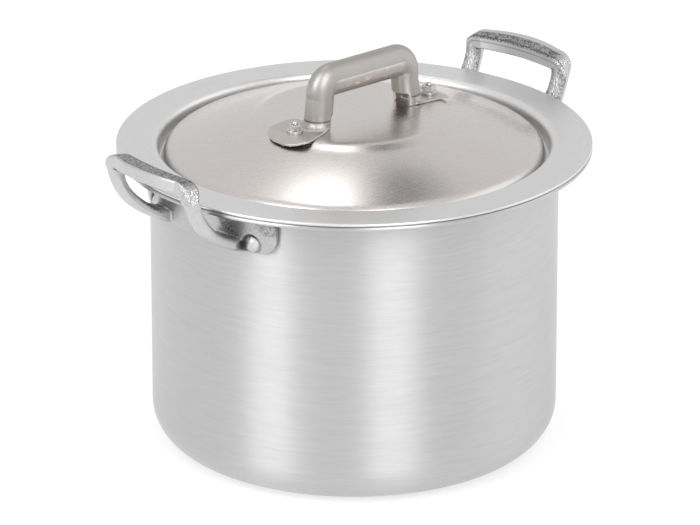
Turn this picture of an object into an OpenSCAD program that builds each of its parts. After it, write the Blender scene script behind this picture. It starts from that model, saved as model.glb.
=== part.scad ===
// Aluminium pot with two cast loop handles and a flanged lid that drops into the mouth.
// Millimetres. The origin is the middle of the base, +Z is up, the left handle points along -X.

/* [Pot] */
// Inside diameter of the pot
inner_d = 240; // [200:5:320]
// Height from the base to the top of the pot's rim
pot_h = 185.5; // [150:0.5:260]
// Thickness of the wall and of the rim
pot_wall = 2.5; // [2:0.1:3.5]
// Thickness of the base
base_t = 3; // [2:0.5:5]
// Outside radius of the corner between base and wall
base_corner_r = 23; // [14:1:32]
// Width of the flat rim, from the wall to its edge
rim_w = 20; // [16:0.5:24]
// Radius under the rim, where it flares from the wall
rim_fillet_r = 1.5; // [1:0.1:2.5]

/* [Lid] */
// Thickness of the lid's sheet
lid_sheet = 1.9; // [1.2:0.1:2.2]
// Radial clearance between the lid and the pot's mouth
lid_fit = 0.7; // [0.4:0.1:1.5]
// Hair gap between the lid's rim and the pot's rim
lid_seat_gap = 0.3; // [0.1:0.05:0.5]
// Depth of the channel below the lid's rim
channel_depth = 11.5; // [9:0.5:14]
// Width of the channel at its bottom
channel_w = 3; // [2:0.25:4]
// Radius of the fold between the lid's rim and the channel
lid_fold_r = 3.8; // [3:0.1:4.5]
// Height of the straight foot of the dome, above the channel
dome_foot_h = 0.75; // [0.5:0.25:2]
// Radius of the dome's shoulder
shoulder_r = 9; // [6:0.5:12]
// Radius of the dome's sphere
dome_r = 274; // [240:2:320]
// Radius of the flat round platform on the dome
platform_r = 56.5; // [52:0.5:60]
// Width of the sloping edge around the platform
step_w = 4.3; // [3.5:0.1:7]
// Height of the platform's sloping edge
step_h = 2.5; // [2:0.1:4]

/* [Side handles] */
// Distance from the pot's wall to the middle of the grip
grip_out = 35.7; // [34.5:0.1:41.5]
// Height of the grip's middle above the pot's rim
grip_rise = 17; // [16:0.2:24]
// Distance between the middles of the two arms, at the grip
arm_span = 68; // [64:0.5:74]
// Distance between the middles of the two arms, at the wall
foot_span = 60; // [54:0.5:62]
// Radius of the bend between grip and arm, at its middle
grip_bend_r = 9; // [7:0.5:12]
// Depth of the grip at its middle, from its inner to its outer face
grip_depth = 14.75; // [13:0.25:17]
// Depth of the grip at its ends
grip_end_depth = 9.75; // [8.5:0.25:12]
// Height of the grip's section
grip_thick = 9; // [7:0.25:10]
// Thickness of the arms
arm_thick = 7.75; // [7:0.25:9]
// Width of the arms where they flare into the strap
foot_w = 21; // [16:0.5:24]
// Thickness of the arms where they flare into the strap
foot_thick = 10; // [8:0.5:12]
// Distance from each rivet to its end of the strap
strap_end = 16.3; // [14:0.1:18]
// Height of the strap
strap_h = 19.5; // [18:0.5:21]
// Thickness of the strap at its upper edge
strap_t = 4.5; // [4:0.1:5]
// Thickness of the strap at its lower edge
strap_low_t = 2.6; // [2.4:0.1:3.5]
// Gap between the pot's rim and the top edge of the strap
strap_drop = 5.5; // [5:0.25:7]
// Hair gap between the strap and the wall
strap_fit = 0.2; // [0.1:0.05:0.3]
// Radius of the strap's lower corners
strap_corner_r = 9.5; // [6:0.5:10]
// Radius of the strap's upper corners
strap_top_r = 3; // [2:0.5:5]
// Distance between the two rivets of a handle
rivet_span = 87.8; // [84:0.2:92]
// Angle by which the right handle sits off the line through the left one
handle_skew = 8.5; // [0:0.5:12]
// Height by which the right handle sits above the left one
handle_lift = 1.25; // [0:0.25:2.5]

/* [Rivets] */
// Diameter of the rivets' shanks
rivet_d = 5; // [4:0.25:6]
// Clearance around each shank, on the radius
rivet_fit = 0.05; // [0.03:0.01:0.1]
// Diameter of the heads
rivet_head_d = 9.3; // [8:0.1:10]
// Height of the heads
rivet_head_h = 1.8; // [1.2:0.1:2.2]
// Diameter of the flat seat that is sunk in the strap for the outer head
seat_d = 12.8; // [12:0.1:14]
// Thickness of the strap under that head
seat_t = 2.2; // [1.8:0.1:2.3]
// Height of the rivets above the strap's lower edge
rivet_up = 4.7; // [4.5:0.1:7]

/* [Lid handle] */
// Distance between the two screws
screw_span = 105; // [102:0.5:108]
// Diameter of the tube at its legs
tube_d = 16.5; // [15:0.25:17.5]
// Height of the tube's section along the grip
tube_h = 20; // [18.5:0.25:20.5]
// Thickness of the tube's and the feet's sheet
tube_sheet = 1.4; // [1.2:0.1:1.8]
// Height of the grip's middle above the platform
tube_rise = 28.4; // [26:0.2:34]
// Distance between the middles of the two legs, at the top
leg_span = 66; // [62:0.5:70]
// Distance that each leg leans out, from top to bottom
leg_lean = 2; // [0:0.25:3]
// Radius of the bends between grip and legs, at the tube's middle
tube_bend_r = 11; // [10.5:0.5:14]
// Gap between the platform and the inner side of each leg's end
leg_gap = 3.5; // [2:0.25:5]
// Distance from each leg's middle to where its opened-out side begins, inwards
leg_open = 4.3; // [2:0.1:6]
// Radius of the feet's rounded sides
foot_r = 16.5; // [15:0.25:17.5]
// Width of the feet
foot_wide = 39; // [36:0.5:42]
// Distance from each screw to the middle of its foot, towards the leg
foot_back = 3.5; // [2:0.25:5]
// Distance from each screw to the bend where its foot turns down
foot_bend_out = 5.5; // [5.25:0.25:7]
// Angle by which the end of each foot turns down
foot_tilt = 20; // [12:0.5:22]
// Distance that the whole handle sits to one side of the lid's middle
lid_handle_shift = 7.5; // [0:0.5:8]

/* [Lid fasteners] */
// Diameter of the screws
screw_d = 4; // [3.5:0.1:4.5]
// Clearance between screw and nut, on the radius
thread_fit = 0.03; // [0.02:0.01:0.05]
// Clearance between screw and its holes, on the radius
hole_fit = 0.15; // [0.1:0.05:0.25]
// Diameter of the screws' heads
screw_head_d = 7; // [6.5:0.25:8]
// Height of the screws' heads
screw_head_h = 2.6; // [2.2:0.1:3.2]
// Hair gap between the heads and the bend of the lid's platform that they rest on
screw_head_gap = 0.1; // [0.05:0.05:0.3]
// Width of the slot in the screws' heads
slot_w = 1.2; // [0.8:0.1:1.6]
// Depth of the slot in the screws' heads
slot_depth = 1.2; // [0.8:0.1:1.6]
// Length of screw that stands above the nut
screw_over = 1.6; // [1:0.1:3]
// Width of the nuts across their flats
nut_af = 7; // [6.5:0.1:7.5]
// Height of the nuts
nut_h = 3.4; // [2.8:0.1:4.5]
// Size of the chamfer on the nuts' corners
nut_chamfer = 0.5; // [0.3:0.1:0.7]
// Diameter of the washers
washer_d = 9.8; // [8.5:0.1:10]
// Thickness of the washers
washer_t = 2; // [0.8:0.1:2.4]

/* [Hidden] */

// Smoothness of round parts, and steps along an arc of an outline
round_fn = 128;
small_fn = 48;
arc_steps = 10;
// Overrun of every cut
over = 1;

// The pot
inner_r = inner_d / 2;
outer_r = inner_r + pot_wall;
rim_r = outer_r + rim_w;
rim_under_z = pot_h - pot_wall;
mouth_bend_c = [outer_r + rim_fillet_r, rim_under_z - rim_fillet_r];

// The lid, from its rim down to the channel and up to the platform
lid_top_z = pot_h + lid_seat_gap + lid_sheet;
lid_wall_r = inner_r - lid_fit - lid_sheet;
lid_edge_r = rim_r - lid_sheet / 2;
channel_c = [lid_wall_r - channel_w / 2, lid_top_z - channel_depth + channel_w / 2];
shoulder_c = [lid_wall_r - channel_w - shoulder_r, channel_c.y + dome_foot_h];
dome_z = shoulder_c.y - sqrt(pow(dome_r - shoulder_r, 2) - pow(shoulder_c.x, 2));
dome_angle = asin(shoulder_c.x / (dome_r - shoulder_r));
step_r = platform_r + step_w;
step_angle = asin(step_r / dome_r);
step_z = dome_z + dome_r * cos(step_angle);
platform_z = step_z + step_h;

// The side handles, seen in the upright plane through the pot's axis
grip_reach = outer_r + grip_out;
grip_z = pot_h + grip_rise;
strap_top_z = pot_h - strap_drop - pot_wall;
strap_low_z = strap_top_z - strap_h;
strap_in_r = outer_r + strap_fit;
strap_out_r = strap_in_r + strap_t;
seat_r = strap_in_r + seat_t;
rivet_z = strap_low_z + rivet_up;
rivet_hole_r = rivet_d / 2 + rivet_fit;
// Angle from the handle's middle to each rivet, seen from above
rivet_angle = asin(rivet_span / 2 / outer_r);
// The arm's curve starts at the grip's end, swings out, turns in under the rim and ends in the wall
swell = grip_depth - grip_end_depth;
arm_x = grip_reach - swell / 2;
arm_in_x = outer_r - strap_t - over;
arm_end = [arm_in_x, strap_low_z + seat_t];
arm_size = [arm_x - arm_in_x, grip_z - arm_end.y];
arm_high_shares = [0.064, -0.29];
arm_low_shares = [-0.246, -0.75];
function along_arm(shares) = [arm_x + arm_size.x * shares.x, grip_z + arm_size.y * shares.y];
arm_profile = [[arm_x, grip_z], along_arm(arm_high_shares), along_arm(arm_low_shares), arm_end];
// Angle by which the grip's outer edge stands up
grip_tilt = 10;
grip_face = [cos(grip_tilt), 0, sin(grip_tilt)];
// Shares of the arm's length where its section changes, and how square that section is
corner_share = 0.28;
flare_share = 0.55;
square_share = 0.4;
bar_sides = 16;
grip_steps = 5;
bend_steps = 6;
arm_steps = 9;

// The lid's handle
tube_z = platform_z + tube_rise;
leg_top_x = leg_span / 2;
leg_low_x = leg_top_x + leg_lean;
foot_x = screw_span / 2 - foot_back;
foot_bend_x = screw_span / 2 + foot_bend_out;
screw_hole_r = screw_d / 2 + hole_fit;
tube_sides = 20;
tube_bend_steps = 7;
washer_z = platform_z + tube_sheet;
nut_z = washer_z + washer_t;
// The heads reach past the platform's flat underside, so they hang a little below it, on its bend
step_slope = atan(step_h / step_w);
flat_under_r = platform_r - lid_sheet * tan(step_slope / 2);
head_reach_r = norm([screw_span / 2, lid_handle_shift]) + screw_head_d / 2;
screw_head_z = platform_z - lid_sheet - max(0, head_reach_r - flat_under_r) * tan(step_slope) - screw_head_gap;

// Points along an arc, from one angle to another
function arc(c, r, from, to, steps = arc_steps) =
    [for (i = [0 : steps]) let (a = from + (to - from) * i / steps) c + r * [cos(a), sin(a)]];
function unit(v) = v / norm(v);
function flip(list) = [for (i = [len(list) - 1 : -1 : 0]) list[i]];
function after_first(list) = [for (i = [1 : len(list) - 1]) list[i]];
function clamp01(x) = min(1, max(0, x));
// A smooth change from 0 to 1
function ease(x) = let (k = clamp01(x)) k * k * (3 - 2 * k);
function mix(a, b, k) = a + (b - a) * k;

// A path moved to its right by a distance, each corner mitred
function beside(path, distance) =
    let (last = len(path) - 1)
    [for (i = [0 : last])
        let (before = unit(path[max(i, 1)] - path[max(i, 1) - 1]),
             after = unit(path[min(i, last - 1) + 1] - path[min(i, last - 1)]),
             way = unit(before + after))
        path[i] + [way.y, -way.x] * distance / (way * after)];

// Faces of a tube whose rings of points follow each other, closed by a cap at each end
function ring_faces(rings, sides, start = 0, out = true) =
    [for (i = [0 : rings - 2]) for (j = [0 : sides - 1])
        let (a = start + i * sides + j, b = start + i * sides + (j + 1) % sides,
             c = b + sides, d = a + sides)
        each (out ? [[a, c, b], [a, d, c]] : [[a, b, c], [a, c, d]])];

module revolve(outline) {
    rotate_extrude($fn = round_fn) polygon(outline);
}

// Turns what points along +X to an angle seen from above
module at_angle(angle) {
    rotate([0, 0, angle]) children();
}

// A round bar along +X, between two distances from the pot's axis
module radial_bar(r, from, to) {
    translate([from, 0, rivet_z]) rotate([0, 90, 0]) cylinder(r = r, h = to - from, $fn = small_fn);
}

// The pan: base, rounded corner, straight wall and flared rim, all of one sheet
module pot_body() {
    inner_corner_r = base_corner_r - pot_wall;
    outside = concat([[0, 0]],
        arc([outer_r - base_corner_r, base_corner_r], base_corner_r, -90, 0),
        arc(mouth_bend_c, rim_fillet_r, 180, 90),
        arc([rim_r - pot_wall / 2, pot_h - pot_wall / 2], pot_wall / 2, -90, 90));
    inside = concat(
        arc(mouth_bend_c, rim_fillet_r + pot_wall, 90, 180),
        arc([inner_r - inner_corner_r, base_t + inner_corner_r], inner_corner_r, 0, -90),
        [[0, base_t]]);
    color("silver") difference() {
        revolve(concat(outside, inside));
        for (side = [-1, 1]) {
            at_angle(180 + side * rivet_angle) radial_bar(rivet_hole_r, inner_r - pot_wall, outer_r + over);
            translate([0, 0, handle_lift]) at_angle(handle_skew + side * rivet_angle)
                radial_bar(rivet_hole_r, inner_r - pot_wall, outer_r + over);
        }
    }
}

// A point of the arm's smooth curve, and the curve's direction there
function curve(p, k) =
    p[0] * pow(1 - k, 3) + 3 * p[1] * pow(1 - k, 2) * k + 3 * p[2] * (1 - k) * k * k + p[3] * pow(k, 3);
function curve_way(p, k) =
    unit((p[1] - p[0]) * pow(1 - k, 2) + 2 * (p[2] - p[1]) * (1 - k) * k + (p[3] - p[2]) * k * k);

// Half of the handle's route as [sideways, share of the way down the arm]
arm_len = norm(arm_profile[1] - arm_profile[0]) + norm(arm_profile[2] - arm_profile[1])
    + norm(arm_profile[3] - arm_profile[2]);
function half_route() =
    let (top = arm_span / 2 - grip_bend_r, bend = grip_bend_r / arm_len)
    concat(
        [for (i = [0 : grip_steps - 1]) [top * i / grip_steps, 0]],
        [for (i = [0 : bend_steps]) let (a = 90 * i / bend_steps)
            [top + grip_bend_r * sin(a), bend * (1 - cos(a))]],
        [for (i = [1 : arm_steps]) let (k = i / arm_steps)
            [mix(arm_span, foot_span, k) / 2, mix(bend, 1, k)]]);
function whole_route() =
    let (half = half_route())
    concat([for (i = [len(half) - 1 : -1 : 1]) [-half[i].x, half[i].y]], half);

// How much deeper than its ends the grip is at a place, as a share from 0 to 1
function swelling(step) =
    step.y > 0 ? 0 : 1 - pow(clamp01(abs(step.x) / (arm_span / 2 - grip_bend_r)), 2);
function place(step) =
    let (p = curve(arm_profile, step.y)) [p.x, step.x, p.y] + grip_face * swell * swelling(step) / 2;

// One ring of the bar: a rounded rectangle across the route
function bar_ring(route, i) =
    let (k = route[i].y,
         way = unit(place(route[min(i + 1, len(route) - 1)]) - place(route[max(i - 1, 0)])),
         slope = curve_way(arm_profile, k),
         face = unit(mix(grip_face, [-slope.y, 0, slope.x], ease(k / corner_share))),
         across = unit(cross(way, face)),
         outward = cross(across, way),
         turn = ease(k / corner_share),
         flare = ease((k - flare_share) / (1 - flare_share)),
         depth = mix(mix(grip_end_depth + swell * swelling(route[i]), arm_thick, turn), foot_thick, flare),
         width = mix(mix(grip_thick, arm_thick, turn), foot_w, flare))
    [for (j = [0 : bar_sides - 1])
        let (a = 360 * (j + 0.5) / bar_sides,
             u = sign(cos(a)) * pow(abs(cos(a)), square_share),
             v = sign(sin(a)) * pow(abs(sin(a)), square_share))
        place(route[i]) + outward * u * depth / 2 + across * v * width / 2];

// The cast loop: grip and arms in one swept bar
module loop_bar() {
    route = whole_route();
    rings = len(route);
    points = [for (i = [0 : rings - 1]) each bar_ring(route, i)];
    caps = [[for (j = [0 : bar_sides - 1]) j],
            [for (j = [bar_sides - 1 : -1 : 0]) (rings - 1) * bar_sides + j]];
    polyhedron(points, concat(ring_faces(rings, bar_sides), caps));
}

// The right half of the strap, seen along its rivet, drawn a little past the strap's middle
module strap_half() {
    low = arc([strap_end - strap_corner_r, strap_low_z + strap_corner_r], strap_corner_r, -90, 0);
    high = arc([strap_end - strap_top_r, strap_top_z - strap_top_r], strap_top_r, 0, 90);
    middle = -strap_out_r * sin(rivet_angle) - over;
    rotate([90, 0, 90]) linear_extrude(strap_out_r + over)
        polygon(concat([[middle, strap_low_z]], low, high, [[middle, strap_top_z]]));
}

// A side handle that points along +X: strap, loop, and a flat seat and a hole for each rivet
module side_handle() {
    difference() {
        union() {
            intersection() {
                revolve([[0, strap_low_z], [strap_in_r + strap_low_t, strap_low_z],
                         [strap_out_r, strap_top_z], [0, strap_top_z]]);
                union() {
                    at_angle(rivet_angle) strap_half();
                    mirror([0, 1, 0]) at_angle(rivet_angle) strap_half();
                }
            }
            loop_bar();
        }
        translate([0, 0, -over]) cylinder(r = strap_in_r, h = grip_z, $fn = round_fn);
        for (side = [-1, 1]) at_angle(side * rivet_angle) {
            radial_bar(seat_d / 2, seat_r, arm_x - grip_end_depth);
            radial_bar(rivet_hole_r, inner_r, arm_x - grip_end_depth);
        }
    }
}

module left_handle() {
    color("gainsboro") at_angle(180) side_handle();
}

module right_handle() {
    color("gainsboro") translate([0, 0, handle_lift]) at_angle(handle_skew) side_handle();
}

// A low round rivet head that stands on a plane and rises along +X
module rivet_head() {
    half = rivet_head_d / 2;
    ball_r = (half * half + rivet_head_h * rivet_head_h) / (2 * rivet_head_h);
    rotate([0, 90, 0]) intersection() {
        cylinder(r = half, h = rivet_head_h, $fn = small_fn);
        translate([0, 0, rivet_head_h - ball_r]) sphere(r = ball_r, $fn = small_fn);
    }
}

// A rivet along +X: outer head on the strap's seat, shank, and inner head on the wall
module rivet() {
    // The inner head's flat face meets the hollow wall at its own edge
    inner_seat = sqrt(inner_r * inner_r - pow(rivet_head_d / 2, 2));
    translate([seat_r, 0, rivet_z]) rivet_head();
    translate([inner_seat, 0, rivet_z]) mirror([1, 0, 0]) rivet_head();
    radial_bar(rivet_d / 2, inner_seat, seat_r);
}

module left_rivet_front() {
    color("whitesmoke") at_angle(180 + rivet_angle) rivet();
}

module left_rivet_back() {
    color("whitesmoke") at_angle(180 - rivet_angle) rivet();
}

module right_rivet_front() {
    color("whitesmoke") translate([0, 0, handle_lift]) at_angle(handle_skew - rivet_angle) rivet();
}

module right_rivet_back() {
    color("whitesmoke") translate([0, 0, handle_lift]) at_angle(handle_skew + rivet_angle) rivet();
}

// Moves to each screw of the lid's handle: side is -1 for the left one, 1 for the right one
module at_screw(side) {
    translate([side * screw_span / 2, -lid_handle_shift, 0]) children();
}

// The lid: rim, fold, channel, shoulder, dome and platform, one sheet thick throughout
module lid_shell() {
    top = concat([[0, platform_z], [platform_r, platform_z]],
        arc([0, dome_z], dome_r, 90 - step_angle, 90 - dome_angle),
        after_first(arc(shoulder_c, shoulder_r, 90 - dome_angle, 0)),
        arc(channel_c, channel_w / 2, 180, 360),
        arc([lid_wall_r + lid_fold_r, lid_top_z - lid_fold_r], lid_fold_r, 180, 90),
        [[lid_edge_r, lid_top_z]]);
    edge = arc([lid_edge_r, lid_top_z - lid_sheet / 2], lid_sheet / 2, 90, -90);
    color("lightgray") difference() {
        revolve(concat(top, edge, flip(beside(top, lid_sheet))));
        for (side = [-1, 1]) at_screw(side)
            translate([0, 0, platform_z - lid_sheet - over])
                cylinder(r = screw_hole_r, h = lid_sheet + 2 * over, $fn = small_fn);
    }
}

// The tube's route as [along, up], with the direction across it, from the left leg to the right
function tube_half() =
    let (lean = atan(leg_lean / (tube_z - tube_bend_r - platform_z)),
         c = [leg_top_x - tube_bend_r, tube_z - tube_bend_r])
    concat([for (i = [0 : 2]) [c.x * i / 3, tube_z]],
        arc(c, tube_bend_r, 90, -lean, tube_bend_steps),
        [for (k = [0.5, 1]) mix(c + tube_bend_r * [cos(lean), -sin(lean)], [leg_low_x, platform_z], k)]);
function tube_route() =
    let (half = tube_half())
    concat([for (i = [len(half) - 1 : -1 : 1]) [-half[i].x, half[i].y]], half);

// One ring of the tube, pulled in by an inset; the first and last lie flat at the legs' ends
function tube_ring(route, i, inset) =
    let (last = len(route) - 1,
         way = i == 0 ? [0, 1] : i == last ? [0, -1] : unit(route[i + 1] - route[i - 1]),
         up = [-way.y, way.x],
         half_h = mix(tube_d, tube_h, abs(way.x)) / 2 - inset,
         half_w = tube_d / 2 - inset)
    [for (j = [0 : tube_sides - 1])
        let (a = 360 * j / tube_sides, u = half_h * cos(a))
        [route[i].x + up.x * u, -half_w * sin(a), route[i].y + up.y * u]];

// The thin-walled tube, open at both ends
module bent_tube() {
    route = tube_route();
    rings = len(route);
    inside = rings * tube_sides;
    far = (rings - 1) * tube_sides;
    points = concat([for (i = [0 : rings - 1]) each tube_ring(route, i, 0)],
                    [for (i = [0 : rings - 1]) each tube_ring(route, i, tube_sheet)]);
    ends = [for (j = [0 : tube_sides - 1])
        let (n = (j + 1) % tube_sides)
        each [[j, n, inside + n], [j, inside + n, inside + j],
              [far + j, inside + far + n, far + n], [far + j, inside + far + j, inside + far + n]]];
    polyhedron(points, concat(ring_faces(rings, tube_sides), ring_faces(rings, tube_sides, inside, false), ends));
}

// The outline of a foot that points along +X: a broad oval cut off under the leg, with the leg's hole in it
module foot_outline() {
    side = foot_wide / 2 - foot_r;
    bore_r = tube_d / 2 - tube_sheet;
    difference() {
        union() {
            for (y = [-side, side]) translate([foot_x, y]) circle(r = foot_r, $fn = round_fn);
            translate([foot_x - foot_r, -side]) square([2 * foot_r, 2 * side]);
            translate([leg_low_x - leg_open, -bore_r]) square([foot_x - leg_low_x, 2 * bore_r]);
        }
        translate([leg_low_x - leg_open - foot_r * 2, -foot_r * 2]) square([foot_r * 2, foot_r * 4]);
        translate([leg_low_x, 0]) circle(r = bore_r - tube_sheet / 2, $fn = small_fn);
        translate([screw_span / 2, 0]) circle(r = screw_hole_r, $fn = small_fn);
    }
}

// A foot: its outline cut from a strip that lies flat under the screw and turns down beyond it
module foot() {
    reach = foot_x + foot_r + over - foot_bend_x;
    top = [[leg_low_x - leg_open - over, tube_sheet], [foot_bend_x, tube_sheet],
           [foot_bend_x + reach, tube_sheet - reach * tan(foot_tilt)]];
    translate([0, 0, platform_z]) intersection() {
        translate([0, 0, -reach]) linear_extrude(reach + tube_sheet + over) foot_outline();
        rotate([90, 0, 0]) linear_extrude(foot_wide + 2 * over, center = true)
            polygon(concat(top, flip(beside(top, tube_sheet))));
    }
}

// The lid's handle: bent tube, with the outer side of each end opened out into a foot
module lid_handle() {
    color("silver") translate([0, -lid_handle_shift, 0]) {
        difference() {
            bent_tube();
            translate([leg_open - leg_low_x, -tube_d, platform_z - over])
                cube([2 * (leg_low_x - leg_open), 2 * tube_d, leg_gap + over]);
        }
        foot();
        mirror([1, 0, 0]) foot();
    }
}

// A screw with its slotted head under the lid and its end above the nut
module lid_screw() {
    top = nut_z + nut_h + screw_over;
    difference() {
        union() {
            translate([0, 0, screw_head_z - screw_head_h])
                cylinder(r = screw_head_d / 2, h = screw_head_h, $fn = small_fn);
            translate([0, 0, screw_head_z]) cylinder(r = screw_d / 2, h = top - screw_head_z, $fn = small_fn);
        }
        translate([-screw_head_d, -slot_w / 2, screw_head_z - screw_head_h - over])
            cube([2 * screw_head_d, slot_w, slot_depth + over]);
    }
}

module left_lid_screw() {
    color("gray") at_screw(-1) lid_screw();
}

module right_lid_screw() {
    color("gray") at_screw(1) lid_screw();
}

module lid_washer() {
    translate([0, 0, washer_z]) difference() {
        cylinder(r = washer_d / 2, h = washer_t, $fn = small_fn);
        translate([0, 0, -over]) cylinder(r = screw_hole_r, h = washer_t + 2 * over, $fn = small_fn);
    }
}

module left_lid_washer() {
    color("darkgray") at_screw(-1) lid_washer();
}

module right_lid_washer() {
    color("darkgray") at_screw(1) lid_washer();
}

// A hexagon nut, its corners chamfered above and below
module lid_nut() {
    corner_r = nut_af / 2 / cos(30);
    flat_r = corner_r - nut_chamfer;
    translate([0, 0, nut_z]) difference() {
        intersection() {
            cylinder(r = corner_r, h = nut_h, $fn = 6);
            rotate_extrude($fn = small_fn) polygon([[0, 0], [flat_r, 0],
                [corner_r, nut_chamfer], [corner_r, nut_h - nut_chamfer], [flat_r, nut_h], [0, nut_h]]);
        }
        translate([0, 0, -over]) cylinder(r = screw_d / 2 + thread_fit, h = nut_h + 2 * over, $fn = small_fn);
    }
}

module left_lid_nut() {
    color("gray") at_screw(-1) lid_nut();
}

module right_lid_nut() {
    color("gray") at_screw(1) lid_nut();
}

pot_body();
left_handle();
right_handle();
left_rivet_front();
left_rivet_back();
right_rivet_front();
right_rivet_back();
lid_shell();
lid_handle();
left_lid_screw();
right_lid_screw();
left_lid_washer();
right_lid_washer();
left_lid_nut();
right_lid_nut();
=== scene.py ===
"""Looks of a deep aluminium cooking pot with two cast side handles and a flanged, domed lid.

Lengths are in millimetres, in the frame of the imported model: the origin is the middle of the base, +Z is up
and the left side handle points along -X. They become metres when a mesh is made.
"""

from __future__ import annotations

import logging
import math
from abc import ABC, abstractmethod
from collections.abc import Callable
from dataclasses import dataclass, field
from enum import Enum

import bpy
import numpy as np
from mathutils import Matrix, Vector


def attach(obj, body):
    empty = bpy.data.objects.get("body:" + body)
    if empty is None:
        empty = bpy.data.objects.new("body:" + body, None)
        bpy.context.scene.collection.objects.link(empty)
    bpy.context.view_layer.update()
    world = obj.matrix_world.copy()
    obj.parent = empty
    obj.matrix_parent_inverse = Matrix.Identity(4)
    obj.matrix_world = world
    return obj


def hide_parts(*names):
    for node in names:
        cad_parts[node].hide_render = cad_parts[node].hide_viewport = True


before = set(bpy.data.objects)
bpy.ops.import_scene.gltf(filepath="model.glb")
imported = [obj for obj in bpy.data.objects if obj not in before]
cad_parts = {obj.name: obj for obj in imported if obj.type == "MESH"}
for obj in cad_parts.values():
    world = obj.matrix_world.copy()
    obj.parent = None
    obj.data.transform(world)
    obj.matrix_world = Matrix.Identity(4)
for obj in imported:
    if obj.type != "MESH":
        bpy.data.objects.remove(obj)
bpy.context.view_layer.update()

log = logging.getLogger("pot")
Array = np.ndarray
Socket = bpy.types.NodeSocket
Triple = tuple[float, float, float]
WHITE = (1.0, 1.0, 1.0, 1.0)

# A millimetre in metres
MM = 0.001
# Share of each smoothing step that is undone, so that the surface doesn't shrink
BACK = 0.9
# How far a bell-shaped weight reaches, in widths
SPREAD = 3
# Direction in which reflections stretch across the turned lines, as a share of a turn
ACROSS = 0.25


class Side(Enum):
    """The two sides of the pot, as the sign of X."""

    LEFT = -1
    RIGHT = 1


class Body(Enum):
    """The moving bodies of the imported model."""

    POT = "pot"
    LID = "lid"


# Plain geometry


def unit(v: Array) -> Array:
    """Scales each vector of an array to length one."""
    return v / np.linalg.norm(v, axis=-1, keepdims=True)


def mix(a: Array | float, b: Array | float, k: Array | float) -> Array | float:
    """Goes in a straight line from a to b as k goes from 0 to 1."""
    return a + (b - a) * k


def ease(x: Array | float) -> Array:
    """Goes smoothly from 0 to 1 as x does, and stays there outside."""
    k = np.clip(x, 0.0, 1.0)
    return k * k * (3.0 - 2.0 * k)


def bell(x: Array, width: float) -> Array:
    """A bell-shaped bump of height 1 about zero, e^(-(x / width)^2)."""
    return np.exp(-(x / width) ** 2)


def band(x: Array, low: float | Array, high: float, rise: float = 1.0, fall: float = 1.0) -> Array:
    """Goes smoothly up from 0 at low over a length rise, and down to 0 at high over a length fall."""
    return ease((x - low) / rise) * ease((high - x) / fall)


def turn_steps(count: int, offset: float = 0.0) -> Array:
    """Angles that go once round in equal steps, the first one offset by a share of a step."""
    return 2.0 * np.pi * (np.arange(count) + offset) / count


def left_of(way: Array) -> Array:
    """Flat directions turned a quarter to the left."""
    return np.stack([-way[..., 1], way[..., 0]], -1)


def arc(centre: tuple[float, float], radius: float, start: float, end: float, steps: int = 24) -> Array:
    """Points along an arc: centre + radius (cos a, sin a), with a from start to end in degrees.

    Args:
        centre: Middle of the arc.
        radius: Its radius.
        start: First angle in degrees.
        end: Last angle in degrees.
        steps: Number of equal steps.

    Returns:
        Array of steps + 1 points.
    """
    a = np.radians(np.linspace(start, end, steps + 1))
    return np.stack([centre[0] + radius * np.cos(a), centre[1] + radius * np.sin(a)], -1)


def beside(path: Array, distance: float) -> Array:
    """Moves a path to its right by a distance, with each corner mitred.

    Args:
        path: Points of a flat path.
        distance: How far it moves.

    Returns:
        The moved points.
    """
    step = unit(np.diff(path, axis=0))
    before = np.vstack([step[:1], step])
    after = np.vstack([step, step[-1:]])
    way = unit(before + after)
    return path - left_of(way) * distance / (way * after).sum(-1, keepdims=True)


def lengths(path: Array) -> Array:
    """Distance along a path from its start to each of its points."""
    return np.concatenate([[0.0], np.cumsum(np.linalg.norm(np.diff(path, axis=0), axis=-1))])


def soften(path: Array, width: float, spacing: float = 0.1) -> Array:
    """Rounds every corner: the path is sampled evenly and averaged with a bell-shaped weight.

    Args:
        path: Points of the path.
        width: Spread of the weight, about half the radius that a right angle gets.
        spacing: Distance between samples.

    Returns:
        Evenly spaced points of the rounded path, with its ends kept.
    """
    s = lengths(path)
    at = np.linspace(0.0, s[-1], int(s[-1] / spacing) + 2)
    dense = np.stack([np.interp(at, s, path[:, i]) for i in range(path.shape[1])], -1)
    reach = int(SPREAD * width / spacing)
    weight = np.exp(-0.5 * (np.arange(-reach, reach + 1) * spacing / width) ** 2)
    weight /= weight.sum()
    head = 2 * dense[0] - dense[reach:0:-1]
    tail = 2 * dense[-1] - dense[-2:-reach - 2:-1]
    padded = np.vstack([head, dense, tail])
    smooth = np.stack([np.convolve(padded[:, i], weight, "valid") for i in range(path.shape[1])], -1)
    smooth[0], smooth[-1] = dense[0], dense[-1]
    return smooth


def respace(path: Array, turn: float = 5.0, longest: float = 6.0) -> Array:
    """Picks points of a path so that each step turns by at most some angle and isn't too long.

    The points lie at whole values of a running total: the turning in units of turn, plus the length in
    units of longest.

    Args:
        path: Dense points of the path.
        turn: Turning of one step, in degrees.
        longest: Length of one step on a straight run.

    Returns:
        The chosen points, with both ends.
    """
    step = np.diff(path, axis=0)
    size = np.linalg.norm(step, axis=-1)
    way = unit(step)
    bend = np.degrees(np.arccos(np.clip((way[:-1] * way[1:]).sum(-1), -1.0, 1.0)))
    bend = np.concatenate([[0.0], bend, [0.0]])
    total = np.concatenate([[0.0], np.cumsum(size / longest + 0.5 * (bend[:-1] + bend[1:]) / turn)])
    at = np.linspace(0.0, total[-1], int(math.ceil(total[-1])) + 1)
    return np.stack([np.interp(at, total, path[:, i]) for i in range(path.shape[1])], -1)


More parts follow.
